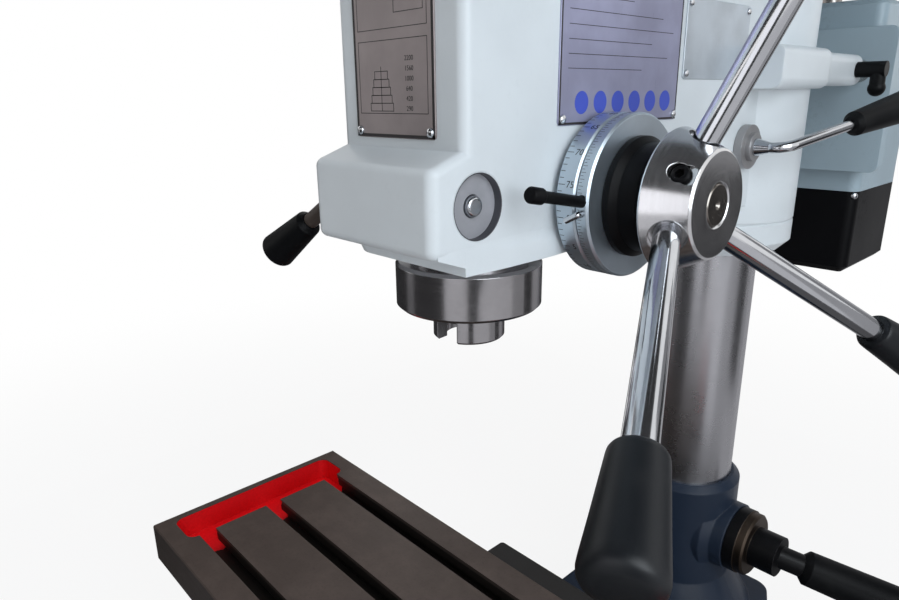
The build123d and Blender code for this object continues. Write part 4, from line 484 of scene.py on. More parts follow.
@dataclass(frozen=True)
class TableIron(Metal):
    """Ground cast iron with red gutters, and painted shade on its sides and in its slots."""

    gutter: Screen = (250, 24, 34)
    gutter_dark: Screen = (214, 10, 20)
    inner: float = 247 * MM
    outer: float = 283.4 * MM
    half_width: float = 75.5 * MM
    floor: float = 139.5 * MM
    slot_top: float = 157 * MM
    rim: float = 159.4 * MM
    ragged: float = 10 * MM
    rags: Noise = (130.0, 3.0)
    specks: Noise = (420.0, 3.0, 0.7)
    speck_span: Pair = (0.5, 0.72)
    speck_share: float = 0.4
    speck_tone: float = 0.55
    top_span: Pair = (0.5, 0.9)
    # Painted shade: the next two tones darken the sides and the slots.
    side_tone: float = 0.5
    slot_tone: float = 0.12

    def tint(self, graph: Graph, place: Wire) -> Wire:
        """Gives dark iron with painted shade on its sides and in its slots, and red in the gutters.

        Args:
            graph: The graph that is wired.
            place: The place on the piece.

        Returns:
            The colour.
        """
        x, y, z = graph.split(place)
        up = graph.split(graph.make("ShaderNodeNewGeometry", out="Normal"))[2]
        speck = graph.noise(place, *self.specks)
        ground = Metal.tint(self, graph, place)
        # Painted shade: faces that don't look up take the darker side tone, as if out of the light.
        iron = graph.mix(graph.ramp(up, *self.top_span), self.shaded(self.side_tone), ground)
        pitted = graph.ramp(speck, *self.speck_span) * self.speck_share
        iron = graph.mix(pitted, iron, self.shaded(self.speck_tone))
        along = abs(x)
        within = abs(y - middle("table").y) < self.half_width
        ragged = along + graph.sway(graph.noise(place, *self.rags), self.ragged)
        red = (ragged > self.inner) * (along < self.outer) * within
        red = red * (z > self.floor) * (z < self.rim)
        # Painted shade: everything between the slots' floor and top is darkened, as in the slots'
        # shadow.
        slot = (z < self.slot_top) * (z > self.floor) * within
        iron = graph.mix(slot, iron, self.shaded(self.slot_tone))
        paint = graph.mix(speck, tone(*self.gutter), tone(*self.gutter_dark))
        return graph.mix(red, iron, paint)


@dataclass(frozen=True)
class Banded(Coating):
    """Bare metal in a band across an axis, and paint on either side of it."""

    paint_color: Screen = (22, 22, 24)
    paint_roughness: float = 0.35
    axis: int = 0
    low: float = -1.0
    high: float = 1.0
    clouds: Noise = (45.0, 4.0)
    cloud_tones: Pair = (0.7, 1.1)
    cloud_roughness: float = 0.15
    grains: Noise = (900.0,)
    depth: float = 0.01
    wear: float = 0.3
    wear_span: Pair = (0.1, 0.3)

    def paint(self, graph: Graph) -> None:
        """Wires the metal between the two planes and the paint outside them.

        Args:
            graph: The graph that is wired.
        """
        place = graph.point()
        across = graph.split(place)[self.axis]
        bare = (across > self.low) * (across < self.high)
        cloud = graph.noise(place, *self.clouds)
        grain = graph.noise(place, *self.grains)
        soft, rim = graph.edges(self.edge)
        metal = graph.mix(cloud, *(self.shaded(share) for share in self.cloud_tones))
        color = graph.mix(bare, tone(*self.paint_color), metal)
        rubbed = graph.ramp(rim * grain, *self.wear_span) * self.wear
        rough = self.paint_roughness + bare * (self.roughness - self.paint_roughness)
        graph.surface({
            "Base Color": graph.mix(rubbed, color, BARE_EDGE),
            "Metallic": bare,
            "Roughness": rough + graph.sway(cloud, self.cloud_roughness),
            "Specular IOR Level": self.specular,
            "Normal": graph.relief(grain, self.depth, soft),
        })


@dataclass(frozen=True)
class Moulded(Coating):
    """Moulded plastic or rubber with a fine grain."""

    grain: float = 0.015
    density: float = 1400.0
    grain_roughness: float = 0.08
    dust: float = 0.1
    dust_span: Pair = (0.45, 0.8)
    # Painted sheen: how far the edges are lightened towards the dust colour.
    edge_dust: float = 0.05
    clouds: Noise = (40.0, 4.0, 0.6)
    cloud_roughness: float = 0.22

    def paint(self, graph: Graph) -> None:
        """Wires a grained skin with handling marks, a little dust and a painted edge sheen.

        Args:
            graph: The graph that is wired.
        """
        place = graph.point()
        grain = graph.noise(place, self.density)
        cloud = graph.noise(place, *self.clouds)
        soft, rim = graph.edges(self.edge)
        dust = graph.ramp(cloud, *self.dust_span) * self.dust
        rough = self.roughness + graph.sway(cloud, self.cloud_roughness)
        graph.surface({
            # The rim term paints a sheen along the edges; the cloud term is dust.
            "Base Color": graph.mix(dust + rim * self.edge_dust, self.shaded(), DUST_AND_SHEEN),
            "Roughness": rough + graph.sway(grain, self.grain_roughness),
            "Specular IOR Level": self.specular,
            "Normal": graph.relief(grain, self.grain, soft),
        })


LIGHT_PAINT = Enamel("head_enamel", (220, 225, 228), 0.4, 1.6, 0.4, wear=0.0, grime=0.05,
                     coat=0.15)
FOOT_PAINT = replace(LIGHT_PAINT, name="foot_enamel", edge=0.15)
SHEET_PAINT = Enamel("cover_enamel", (214, 222, 227), 0.36, 0.8, 0.4, cast=0.02, wear=0.05,
                     grime=0.05)
DARK_PAINT = Enamel("base_enamel", (36, 46, 62), 0.36, 2.0, 0.3, cast=0.25, wear=0.08, coat=0.15)
MOTOR_PAINT = Enamel("motor_enamel", (164, 181, 190), 0.42, 0.9, 0.4, cast=0.04, wear=0.08,
                     coat=0.1)
BLACK_PAINT = Enamel("black_enamel", (12, 12, 14), 0.42, 0.8, 0.1, cast=0.05, wear=0.04, coat=0.0)
SADDLE_IRON = Enamel("saddle_enamel", (52, 50, 49), 0.44, 1.0, 0.3, shade=0.12, wear=0.2,
                     coat=0.05)
TABLE_IRON = TableIron("table_iron_ground", (102, 89, 83), 0.5, 0.6, Lay.GROUND_X, density=900.0,
                       depth=0.02, metallic=0.3)
COLUMN_STEEL = Metal("column_steel", (200, 200, 204), 0.28, 0.1, Lay.TURNED_Z, "column", depth=0.0,
                     streak=0.02, stain=0.06)
RING_STEEL = Metal("ring_steel", (184, 182, 184), 0.2, 0.5, Lay.TURNED_Z, "quill_ring", 1100.0,
                   0.012, stain=0.15)
HUB_STEEL = Metal("hub_steel", (230, 230, 232), 0.2, 0.6, Lay.TURNED_X, "dial_ring", 1000.0,
                  stain=0.12)
SHAFT_STEEL = Metal("shaft_steel", (150, 144, 138), 0.24, 0.4, Lay.TURNED_X, "dial_ring")
DISC_STEEL = Metal("lock_disc_steel", (182, 182, 188), 0.42, 0.5, Lay.TURNED_X,
                   "quill_lock_cotter", 900.0, 0.02, metallic=0.2)
# The lining's dark colour is painted shade on the lock seat's wall.
SHADE_LINING_STEEL = Metal("lock_lining_steel", (84, 84, 90), 0.42, 0.2, Lay.TURNED_X,
                     "quill_lock_cotter", metallic=0.4)
TENSION_STEEL = Metal("tension_disc_steel", (172, 170, 171), 0.4, 0.5, Lay.TURNED_X,
                      "tension_lever", 900.0, 0.02, metallic=0.5)
SCREW_X_STEEL = Metal("table_screw_steel", (178, 174, 170), 0.3, 0.3, Lay.TURNED_X, "table_screw")
SCREW_Y_STEEL = replace(SCREW_X_STEEL, name="saddle_screw_steel", lay=Lay.TURNED_Y,
                        about="saddle_screw")
PLAIN_STEEL = Metal("plain_steel", (168, 162, 158), 0.28, 0.3)
SPRING_STEEL = Metal("spring_steel", (92, 96, 108), 0.26, 0.2, stain=0.4)
GIB_STEEL = Metal("gib_steel", (150, 146, 142), 0.34, 0.3, Lay.GROUND_Y)
SCALE_METAL = Metal("scale_aluminium_satin", (200, 212, 222), 0.36, 0.3, Lay.TURNED_X, "dial_ring",
                    1400.0, 0.008, stain=0.1, metallic=0.95)
PULLEY_METAL = Metal("pulley_aluminium_turned", (206, 206, 206), 0.3, 0.4, Lay.TURNED_Z,
                     "quill_ring")
MOTOR_PULLEY_METAL = replace(PULLEY_METAL, name="motor_pulley_turned", about="motor_pulley")
CHROME = Metal("chrome_plate", (214, 216, 220), 0.12, 0.4, density=600.0, depth=0.001,
               streak=0.04, stain=0.1)
BRONZE = Metal("nut_bronze", (176, 136, 84), 0.36, 0.4, stain=0.4)
CLAMP_STEEL = Banded("clamp_steel", (96, 84, 74), 0.4, 0.8, 0.2, (14, 14, 16), low=58.8 * MM,
                     high=66.2 * MM)
LOCK_STEEL = Banded("lock_bolt_steel", (205, 208, 212), 0.16, 0.4, 0.4, (74, 64, 58), 0.4, low=0.0)
X_WHEEL = Banded("table_wheel_finish", (176, 174, 172), 0.28, 0.8, high=320 * MM)
Y_WHEEL = Banded("saddle_wheel_finish", (176, 174, 172), 0.28, 0.8, axis=1, low=-280 * MM)
BLACK_PLASTIC = Moulded("lever_plastic", (12, 13, 15), 0.45, 0.6, 0.14, dust=0.02)
GRIP_PLASTIC = Moulded("grip_plastic", (15, 18, 22), 0.42, 0.6, 0.34, dust=0.02)
BOX_PLASTIC = Moulded("switch_plastic", (34, 35, 38), 0.48, 1.0, 0.4, grain=0.03, density=900.0)
GREEN_PLASTIC = Moulded("start_plastic", (20, 120, 52), 0.25, 0.6)
RED_PLASTIC = Moulded("stop_plastic", (190, 22, 22), 0.25, 0.6)
BELT_RUBBER = Moulded("belt_rubber_cloth", (28, 27, 26), 0.75, 0.4, grain=0.06, density=1800.0)
FRONT_PLATE = Metal("front_plate_print", (158, 147, 146), 0.38, 0.2, Lay.GROUND_Z, density=2600.0,
                    depth=0.003, streak=0.2, stain=0.14, bright=1.06, metallic=0.35,
                    stretch=30 / 2600, marks=(1.0,), stains=(38.0, 4.0), stain_span=(0.3, 0.7),
                    smears=(38.0, 4.0), rubbed=0.0)
SIDE_PLATE = replace(FRONT_PLATE, name="side_plate_print", color=(160, 160, 186), roughness=0.34)
SMALL_PLATE = replace(FRONT_PLATE, name="small_plate_brushed", color=(196, 203, 210),
                      roughness=0.36, metallic=0.5, lay=Lay.GROUND_Y)
INK = Moulded("plate_ink", (34, 30, 32), 0.5, 0.02, grain=0.002, dust=0.02)
DISC_INK = replace(INK, name="disc_ink", color=(64, 84, 190), roughness=0.45)
SCALE_INK = replace(INK, name="scale_ink", color=(36, 36, 40))

NODE_FINISHES: dict[Finish, str] = {
    DARK_PAINT: "base",
    LIGHT_PAINT: "head_casting",
    SHEET_PAINT: "belt_pan belt_lid",
    MOTOR_PAINT: "motor_body motor_bracket",
    BLACK_PAINT: "dial_screw dial_bell return_spring_case motor_fan_cover",
    SADDLE_IRON: "saddle saddle_bracket table_brackets",
    TABLE_IRON: "table",
    COLUMN_STEEL: "column",
    RING_STEEL: "quill quill_ring spindle spindle_bearings pulley_bearings",
    HUB_STEEL: "feed_hub",
    SHAFT_STEEL: "feed_shaft",
    DISC_STEEL: "quill_lock_cotter",
    TENSION_STEEL: "tension_shaft",
    SCREW_X_STEEL: "table_screw",
    SCREW_Y_STEEL: "saddle_screw",
    PLAIN_STEEL: "quill_rack motor_shaft slide_rods lid_hinges",
    SPRING_STEEL: "return_spring",
    GIB_STEEL: "saddle_gibs",
    SCALE_METAL: "feed_bush dial_ring",
    PULLEY_METAL: "spindle_pulley",
    MOTOR_PULLEY_METAL: "motor_pulley",
    CHROME: "dial_pointer tension_lever feed_handle_a feed_handle_b feed_handle_c",
    BRONZE: "table_nut saddle_nut",
    CLAMP_STEEL: "column_clamp",
    LOCK_STEEL: "quill_lock_bolt",
    X_WHEEL: "table_handwheel",
    Y_WHEEL: "saddle_handwheel",
    BLACK_PLASTIC: "column_clamp_grip table_wheel_grip saddle_wheel_grip quill_lock_grip "
                   "tension_grip rod_lock_lever feed_grip_a feed_grip_b feed_grip_c",
    BOX_PLASTIC: "switch_box",
    GREEN_PLASTIC: "start_button",
    RED_PLASTIC: "stop_button",
    BELT_RUBBER: "drive_belt",
}

FEED = middle("dial_ring")
QUILL = middle("quill_ring")
COTTER = middle("quill_lock_cotter")
HEAD_SIDE = 42.5 * MM
HEAD_FRONT = 43.5 * MM


class Seat(Protocol):
    """A surface that small forms are set on."""

    def at(self, spot: Vector) -> Vector:
        """Gives the place of a spot: along, up and off the surface."""


@dataclass(frozen=True)
class FlatSeat:
    """A flat face with a right and an up direction."""

    origin: Point
    right: Point
    up: Point

    def at(self, spot: Vector) -> Vector:
        """Gives the place of a spot on the face."""
        right, up = Vector(self.right), Vector(self.up)
        return Vector(self.origin) + right * spot.x + up * spot.y + right.cross(up) * spot.z

    def moved(self, along: float, up: float = 0.0, off: float = 0.0) -> "FlatSeat":
        """Gives the seat with its origin moved along, up and off the face."""
        return replace(self, origin=tuple(self.at(Vector((along, up, off)))))


@dataclass(frozen=True)
class RoundSeat:
    """A round face about an axis; along is along the axis, up is around it."""

    origin: Point
    axis: Point
    outward: Point
    radius: float

    def at(self, spot: Vector) -> Vector:
        """Gives a place on the round face.

        Args:
            spot: Along, up and off the face.

        Returns:
            The place.
        """
        axis, outward = Vector(self.axis), Vector(self.outward)
        turn = spot.y / self.radius
        way = outward * math.cos(turn) + outward.cross(axis) * math.sin(turn)
        return Vector(self.origin) + axis * spot.x + way * (self.radius + spot.z)


def standing(foot: Vector, way: Vector) -> FlatSeat:
    """Gives the seat at a foot whose outward direction is a way."""
    side = way.orthogonal().normalized()
    return FlatSeat(tuple(foot), tuple(side), tuple(way.cross(side)))


class Head(Enum):
    """Heads of screws and pins: sides, hexagonal rings, and each ring in radii."""

    DOME = (20, (), ((1, 0), (1, 0.15), (0.86, 0.45), (0.5, 0.68), (0, 0.75)))
    SOCKET = (24, (3, 4), ((1, 0), (1, 0.95), (0.9, 1.05), (0.5, 1.05), (0.5, 0.45), (0, 0.4)))
    SLOT = (24, (), ((1, 0), (1, 0.3), (0.8, 0.55), (0, 0.6)))
    NUT = (24, (0, 1), ((1, 0), (1, 0.75), (0.92, 0.85), (0.55, 0.85), (0.5, 1.1), (0, 1.1)))


SLOT_LOW, SLOT_HIGH = Vector((-0.8, -0.1, 0.5)), Vector((0.8, 0.1, 0.62))


class Shape:
    """A mesh that is put together from small forms on their seats."""

    def __init__(self) -> None:
        """Starts with an empty mesh."""
        self.mesh = bmesh.new()

    def lathe(
        self, profile: Profile, seat: Seat, segments: int = 32, six: Sequence[int] = ()
    ) -> "Shape":
        """Adds a turned form that stands on a seat.

        Args:
            profile: Radius and height of each ring, from the outer foot to the middle of the top.
            seat: The surface it stands on.
            segments: Sides of a ring.
            six: Which rings are hexagons.

        Returns:
            The shape.
        """
        rings = []
        for index, (radius, height) in enumerate(profile):
            ring = []
            for side in range(segments if radius else 1):
                turn = 2 * math.pi * side / segments
                reach = radius
                if index in six:
                    reach = radius / math.cos((turn % (math.pi / 3)) - math.pi / 6)
                local = Vector((reach * math.cos(turn), reach * math.sin(turn), height))
                ring.append(self.mesh.verts.new(seat.at(local)))
            rings.append(ring)
        for low, high in zip(rings, rings[1:]):
            for side in range(segments):
                after = (side + 1) % segments
                corners = [low[side % len(low)], low[after % len(low)]]
                corners += [high[after % len(high)], high[side % len(high)]]
                self.mesh.faces.new(list(dict.fromkeys(corners)))
        return self

    def loft(self, sections: Sequence[Sequence[Vector]]) -> "Shape":
        """Adds a block whose skin runs through outlines, closed at both ends.

        Args:
            sections: The outlines, of as many points each.

        Returns:
            The shape.
        """
        loops = [[self.mesh.verts.new(spot) for spot in section] for section in sections]
        for low, high in zip(loops, loops[1:]):
            for index in range(len(low)):
                after = (index + 1) % len(low)
                self.mesh.faces.new((low[index], low[after], high[after], high[index]))
        for loop in (loops[0], loops[-1]):
            self.mesh.faces.new(loop)
        return self

    def bar(self, low: Sequence[float], high: Sequence[float], seat: Seat) -> None:
        """Adds a block on a seat.

        Args:
            low: One corner.
            high: The opposite corner.
            seat: The surface it is on.
        """
        (x0, y0, z0), (x1, y1, z1) = low, high
        flat = ((x0, y0), (x1, y0), (x1, y1), (x0, y1))
        self.loft([[seat.at(Vector((x, y, z))) for x, y in flat] for z in (z0, z1)])

    def tick(self, start: Pair, size: Point, seat: Seat) -> None:
        """Adds a line of a length, width and height that runs along a seat from a start."""
        (x, y), (length, width, height) = start, size
        self.bar((x, y - width / 2, 0), (x + length, y + width / 2, height), seat)

    def sheet(self, size: Pair, corner: float, thick: float, seat: Seat) -> "Shape":
        """Adds a plate with rounded corners and a broken top edge, its low corner at the origin.

        Args:
            size: Width and height.
            corner: Radius of its corners.
            thick: Thickness.
            seat: The face it lies on.

        Returns:
            The shape.
        """
        broken = thick * BROKEN_EDGE
        loops = []
        for inset, height in ((0.0, 0.0), (0.0, thick - broken), (broken, thick)):
            loop = []
            for quarter, (x, y) in enumerate(((1, 1), (0, 1), (0, 0), (1, 0))):
                mid = Vector((abs(x * size[0] - corner), abs(y * size[1] - corner), height))
                for step in range(CORNER_STEPS + 1):
                    turn = math.pi / 2 * (quarter + step / CORNER_STEPS)
                    way = Vector((math.cos(turn), math.sin(turn), 0)) * (corner - inset)
                    loop.append(seat.at(mid + way))
            loops.append(loop)
        return self.loft(loops)

    def letters(self, words: str, size: float, spot: Pair, proud: float, seat: Seat) -> None:
        """Adds raised letters.

        Args:
            words: What is written.
            size: Height of the letters' line.
            spot: Their middle on the seat.
            proud: How far they stand out.
            seat: The face they are on.
        """
        curve = bpy.data.curves.new("letters", "FONT")
        curve.body = words
        curve.size = size
        curve.align_x = "CENTER"
        curve.align_y = "CENTER"
        curve.extrude = proud
        curve.resolution_u = LETTER_STEPS
        text = bpy.data.objects.new("letters", curve)
        mesh = bpy.data.meshes.new_from_object(text)
        for vertex in mesh.vertices:
            vertex.co = seat.at(vertex.co + Vector((*spot, 0.0)))
        self.mesh.from_mesh(mesh)
        bpy.data.objects.remove(text)
        bpy.data.curves.remove(curve)
        bpy.data.meshes.remove(mesh)

    def heads(self, head: Head, radius: float, seats: Sequence[FlatSeat]) -> "Shape":
        """Adds equal heads of screws, pins or nuts.

        Args:
            head: Their kind.
            radius: Their radius.
            seats: The faces they sit on, one at each origin.

        Returns:
            The shape.
        """
        sides, six, profile = head.value
        for seat in seats:
            self.lathe(scaled(profile, radius), seat, sides, six)
            if head is Head.SLOT:
                self.bar(SLOT_LOW * radius, SLOT_HIGH * radius, seat)
        return self

    def piece(
        self, name: str, finish: Finish, body: str, slot: str, angle: float = 32.0
    ) -> bpy.types.Object:
        """Turns the shape into a piece that rides on a body.

        Args:
            name: The piece's name.
            finish: Its finish.
            body: The body it moves with.
            slot: The material slot of the record; not used.
            angle: Edges sharper than this stay sharp, in degrees.

        Returns:
            The piece.
        """
        bmesh.ops.recalc_face_normals(self.mesh, faces=self.mesh.faces)
        mesh = bpy.data.meshes.new(name)
        self.mesh.to_mesh(mesh)
        self.mesh.free()
        mesh.shade_smooth()
        mesh.set_sharp_from_angle(angle=math.radians(angle))
        mesh.materials.append(finish.material())
        piece = add(name, mesh)
        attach(piece, body)
        LOG.info("piece %s on %s", name, body)
        return piece


@dataclass
class Solids:
    """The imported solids, each in its own finish."""

    finishes: dict[Finish, str]

    def dress(self) -> None:
        """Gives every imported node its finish."""
        chosen = {name: finish for finish, names in self.finishes.items() for name in names.split()}
        for name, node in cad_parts.items():
            node.data.materials.clear()
            node.data.materials.append(chosen[name].material())
            LOG.info("node %s in %s", name, chosen[name].name)


@dataclass
class DriveBelt:
    """Belt laid where its solid is, in place of the solid."""

    reach: float = 85 * MM

    def build(self) -> None:
        """Lays a copy of the belt where its solid is and hides the solid."""
        belt = add("drive_belt_loop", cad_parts["drive_belt"].data.copy())
        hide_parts("drive_belt")
        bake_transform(belt)
        LOG.info("piece %s on %s and %s", belt.name, "head", "motor")


@dataclass
class HeadPlates:
    """Three plates on the head, held by drive pins, two of them with plain print."""

    thick: float = 0.8 * MM
    corner: float = 2.0 * MM
    pin: float = 2.1 * MM
    inset: float = 3.0 * MM
    front: FlatSeat = FlatSeat((-29 * MM, QUILL.y - HEAD_FRONT, 485 * MM), RIGHT, UP)
    front_size: Pair = (55 * MM, 106 * MM)
    front_rim: float = 1.4 * MM
    side: FlatSeat = FlatSeat((HEAD_SIDE, -70.7 * MM, 489 * MM), BACK, UP)
    side_size: Pair = (103 * MM, 102 * MM)
    side_rim: float = 1.0 * MM
    small: FlatSeat = FlatSeat((HEAD_SIDE, 37 * MM, 510 * MM), BACK, UP)
    small_size: Pair = (75 * MM, 42 * MM)
    line: float = 0.3 * MM
    proud: float = 0.05 * MM
    rim_inset: float = 0.32 * MM
    boxes: tuple[tuple[float, ...], ...] = (
        (3.7, 10.6, 50.7, 41.0), (3.7, 45.6, 50.7, 100.0), (29.7, 51.5, 48.4, 56.3),
    )
    step_widths: tuple[float, ...] = (16.4, 14.6, 12.8, 11.0, 9.2)
    step_foot: Pair = (19.6 * MM, 11.6 * MM)
    step_rise: float = 3.35 * MM
    shaft_end: float = 2.0 * MM
    speeds: tuple[str, ...] = ("290", "420", "640", "1000", "1560", "2200")
    speed_size: float = 2.9 * MM
    speed_spot: Pair = (38.9 * MM, 12.6 * MM)
    speed_pitch: float = 4.1 * MM
    rule_shares: tuple[float, ...] = (
        0.62, 0.8, 0.95, 0.7, 0.9, 0.98, 0.55, 0.85, 0.97, 0.75, 0.92, 0.66,
    )
    rule_margin: float = 6 * MM
    rule_top: float = 9 * MM
    rule_pitch: float = 6.2 * MM
    disc_r: float = 5.2 * MM
    disc_spot: Pair = (17 * MM, 10 * MM)
    disc_pitch: float = 14.7 * MM
    disc_count: int = 6

    def build(self) -> None:
        """Builds the plates, their print and their pins."""
        pins = Shape()
        for name, seat, size, finish in (
            ("front_plate", self.front, self.front_size, FRONT_PLATE),
            ("side_plate", self.side, self.side_size, SIDE_PLATE),
            ("small_plate", self.small, self.small_size, SMALL_PLATE),
        ):
            plate = Shape().sheet(size, self.corner, self.thick, seat)
            plate.piece(name, finish, "head", "scale_aluminium")
            for x in (self.inset, size[0] - self.inset):
                for y in (self.inset, size[1] - self.inset):
                    pins.heads(Head.DOME, self.pin, [seat.moved(x, y, self.thick)])
        pins.piece("plate_pins", CHROME, "head", "chrome")
        front, side = (seat.moved(0, 0, self.thick) for seat in (self.front, self.side))
        self.rim("front_plate_rim", front, self.front_size, self.front_rim)
        self.rim("side_plate_rim", side, self.side_size, self.side_rim)
        self.diagram(front)
        self.ruling(side)

    def rim(self, name: str, seat: FlatSeat, size: Pair, width: float) -> None:
        """Prints a dark rim round a plate.

        Args:
            name: Name of the piece.
            seat: The plate's face.
            size: The plate's size.
            width: Width of the rim.
        """
        start = self.rim_inset + width / 2
        rim = Shape()
        self.outline(rim, seat, (start, start, size[0] - start, size[1] - start), width)
        rim.piece(name, INK, "head", "black_paint")

    def outline(self, shape: Shape, seat: FlatSeat, box: Sequence[float], width: float) -> None:
        """Prints the four lines of a box.

        Args:
            shape: The print.
            seat: The plate's face.
            box: Low x and y and high x and y of the lines' middles.
            width: Width of the lines.
        """
        x0, y0, x1, y1 = box
        half = width / 2
        for y in (y0, y1):
            shape.bar((x0 - half, y - half, 0), (x1 + half, y + half, self.proud), seat)
        for x in (x0, x1):
            shape.bar((x - half, y0 - half, 0), (x + half, y1 + half, self.proud), seat)

    def diagram(self, seat: FlatSeat) -> None:
        """Prints the step pulley and a column of plain speeds.

        Args:
            seat: The front plate's face.
        """
        lines = Shape()
        for box in self.boxes:
            self.outline(lines, seat, [value * MM for value in box], self.line)
        axis, foot = self.step_foot
        for index, width in enumerate(self.step_widths):
            half, low = width / 2 * MM, foot + index * self.step_rise
            step = (axis - half, low, axis + half, low + self.step_rise)
            self.outline(lines, seat, step, self.line)
        top = foot + len(self.step_widths) * self.step_rise + self.shaft_end
        half = self.line / 2
        lines.bar((axis - half, foot, 0), (axis + half, top, self.proud), seat)
        x, y = self.speed_spot
        for index, speed in enumerate(self.speeds):
            spot = (x, y + index * self.speed_pitch)
            lines.letters(speed, self.speed_size, spot, self.proud, seat)
        lines.piece("front_plate_print", INK, "head", "black_paint")

    def ruling(self, seat: FlatSeat) -> None:
        """Prints plain ruled lines and a row of plain discs.

        Args:
            seat: The side plate's face.
        """
        lines, discs = Shape(), Shape()
        width, height = self.side_size
        room = width - 2 * self.rule_margin
        for index, share in enumerate(self.rule_shares):
            y = height - self.rule_top - index * self.rule_pitch + self.line / 2
            lines.tick((self.rule_margin, y), (share * room, self.line, self.proud), seat)
        lines.piece("side_plate_lines", INK, "head", "black_paint")
        x, y = self.disc_spot
        disc = [(self.disc_r, 0), (self.disc_r, self.proud), (0, self.proud)]
        for index in range(self.disc_count):
            discs.lathe(disc, seat.moved(x + index * self.disc_pitch, y))
        discs.piece("side_plate_discs", DISC_INK, "head", "black_paint")


@dataclass
class DepthScale:
    """Numbers and lines of the depth scale, and the fine lines of the turning ring before it."""

    travel: int = 80
    numbered: int = 5
    zero: float = -169.6
    rear_edge: float = 46.7 * MM
    split: float = 56.5 * MM
    proud: float = 0.04 * MM
    line: float = 0.3 * MM
    reaches: Pair = (2.4 * MM, 3.6 * MM)
    number_size: float = 4.4 * MM
    number_back: float = 3.3 * MM
    fine_line: float = 0.2 * MM
    fine_gap: float = 1.4 * MM
    fine_reaches: Pair = (2.4 * MM, 1.5 * MM)

    def build(self) -> None:
        """Builds the marks of both rings."""
        low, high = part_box("dial_ring")
        radius = (high.z - low.z) / 2
        seat = RoundSeat((0.0, FEED.y, FEED.z), RIGHT, tuple(spoke(self.zero)), radius)
        pitch = -2 * math.pi * radius / self.travel
        scale, ring = Shape(), Shape()
        for depth in range(self.travel):
            numbered = depth % self.numbered == 0
            y = depth * pitch
            scale.tick((self.rear_edge, y), (self.reaches[numbered], self.line, self.proud), seat)
            if numbered:
                spot = (self.split - self.number_back, y)
                scale.letters(str(depth), self.number_size, spot, self.proud, seat)
            for half, reach in enumerate(self.fine_reaches):
                start = (self.split + self.fine_gap, y + half * pitch / 2)
                ring.tick(start, (reach, self.fine_line, self.proud), seat)
        scale.piece("depth_scale_marks", SCALE_INK, "head", "dark_steel")
        ring.piece("stop_ring_marks", SCALE_INK, "dial", "dark_steel")


@dataclass
class WheelScale:
    """Lines and numbers on a handwheel's collar."""

    name: str
    body: str
    origin: Point
    axis: Point
    outward: Point = UP
    radius: float = 24 * MM
    divisions: int = 80
    numbered: int = 10
    halved: int = 5
    step: int = 5
    proud: float = 0.04 * MM
    line: float = 0.2 * MM
    start: float = 1.2 * MM
    reaches: Point = (3.4 * MM, 5.0 * MM, 6.5 * MM)
    number_size: float = 4.0 * MM
    number_x: float = 11.0 * MM

    def build(self) -> None:
        """Builds the collar's marks."""
        marks = Shape()
        seat = RoundSeat(self.origin, self.axis, self.outward, self.radius)
        pitch = 2 * math.pi * self.radius / self.divisions
        for index in range(self.divisions):
            numbered, halved = index % self.numbered == 0, index % self.halved == 0
            y = index * pitch
            size = (self.reaches[numbered + halved], self.line, self.proud)
            marks.tick((self.start, y), size, seat)
            if numbered:
                number = str(index // self.numbered * self.step)
                marks.letters(number, self.number_size, (self.number_x, y), self.proud, seat)
        marks.piece(self.name, SCALE_INK, self.body, "dark_steel")


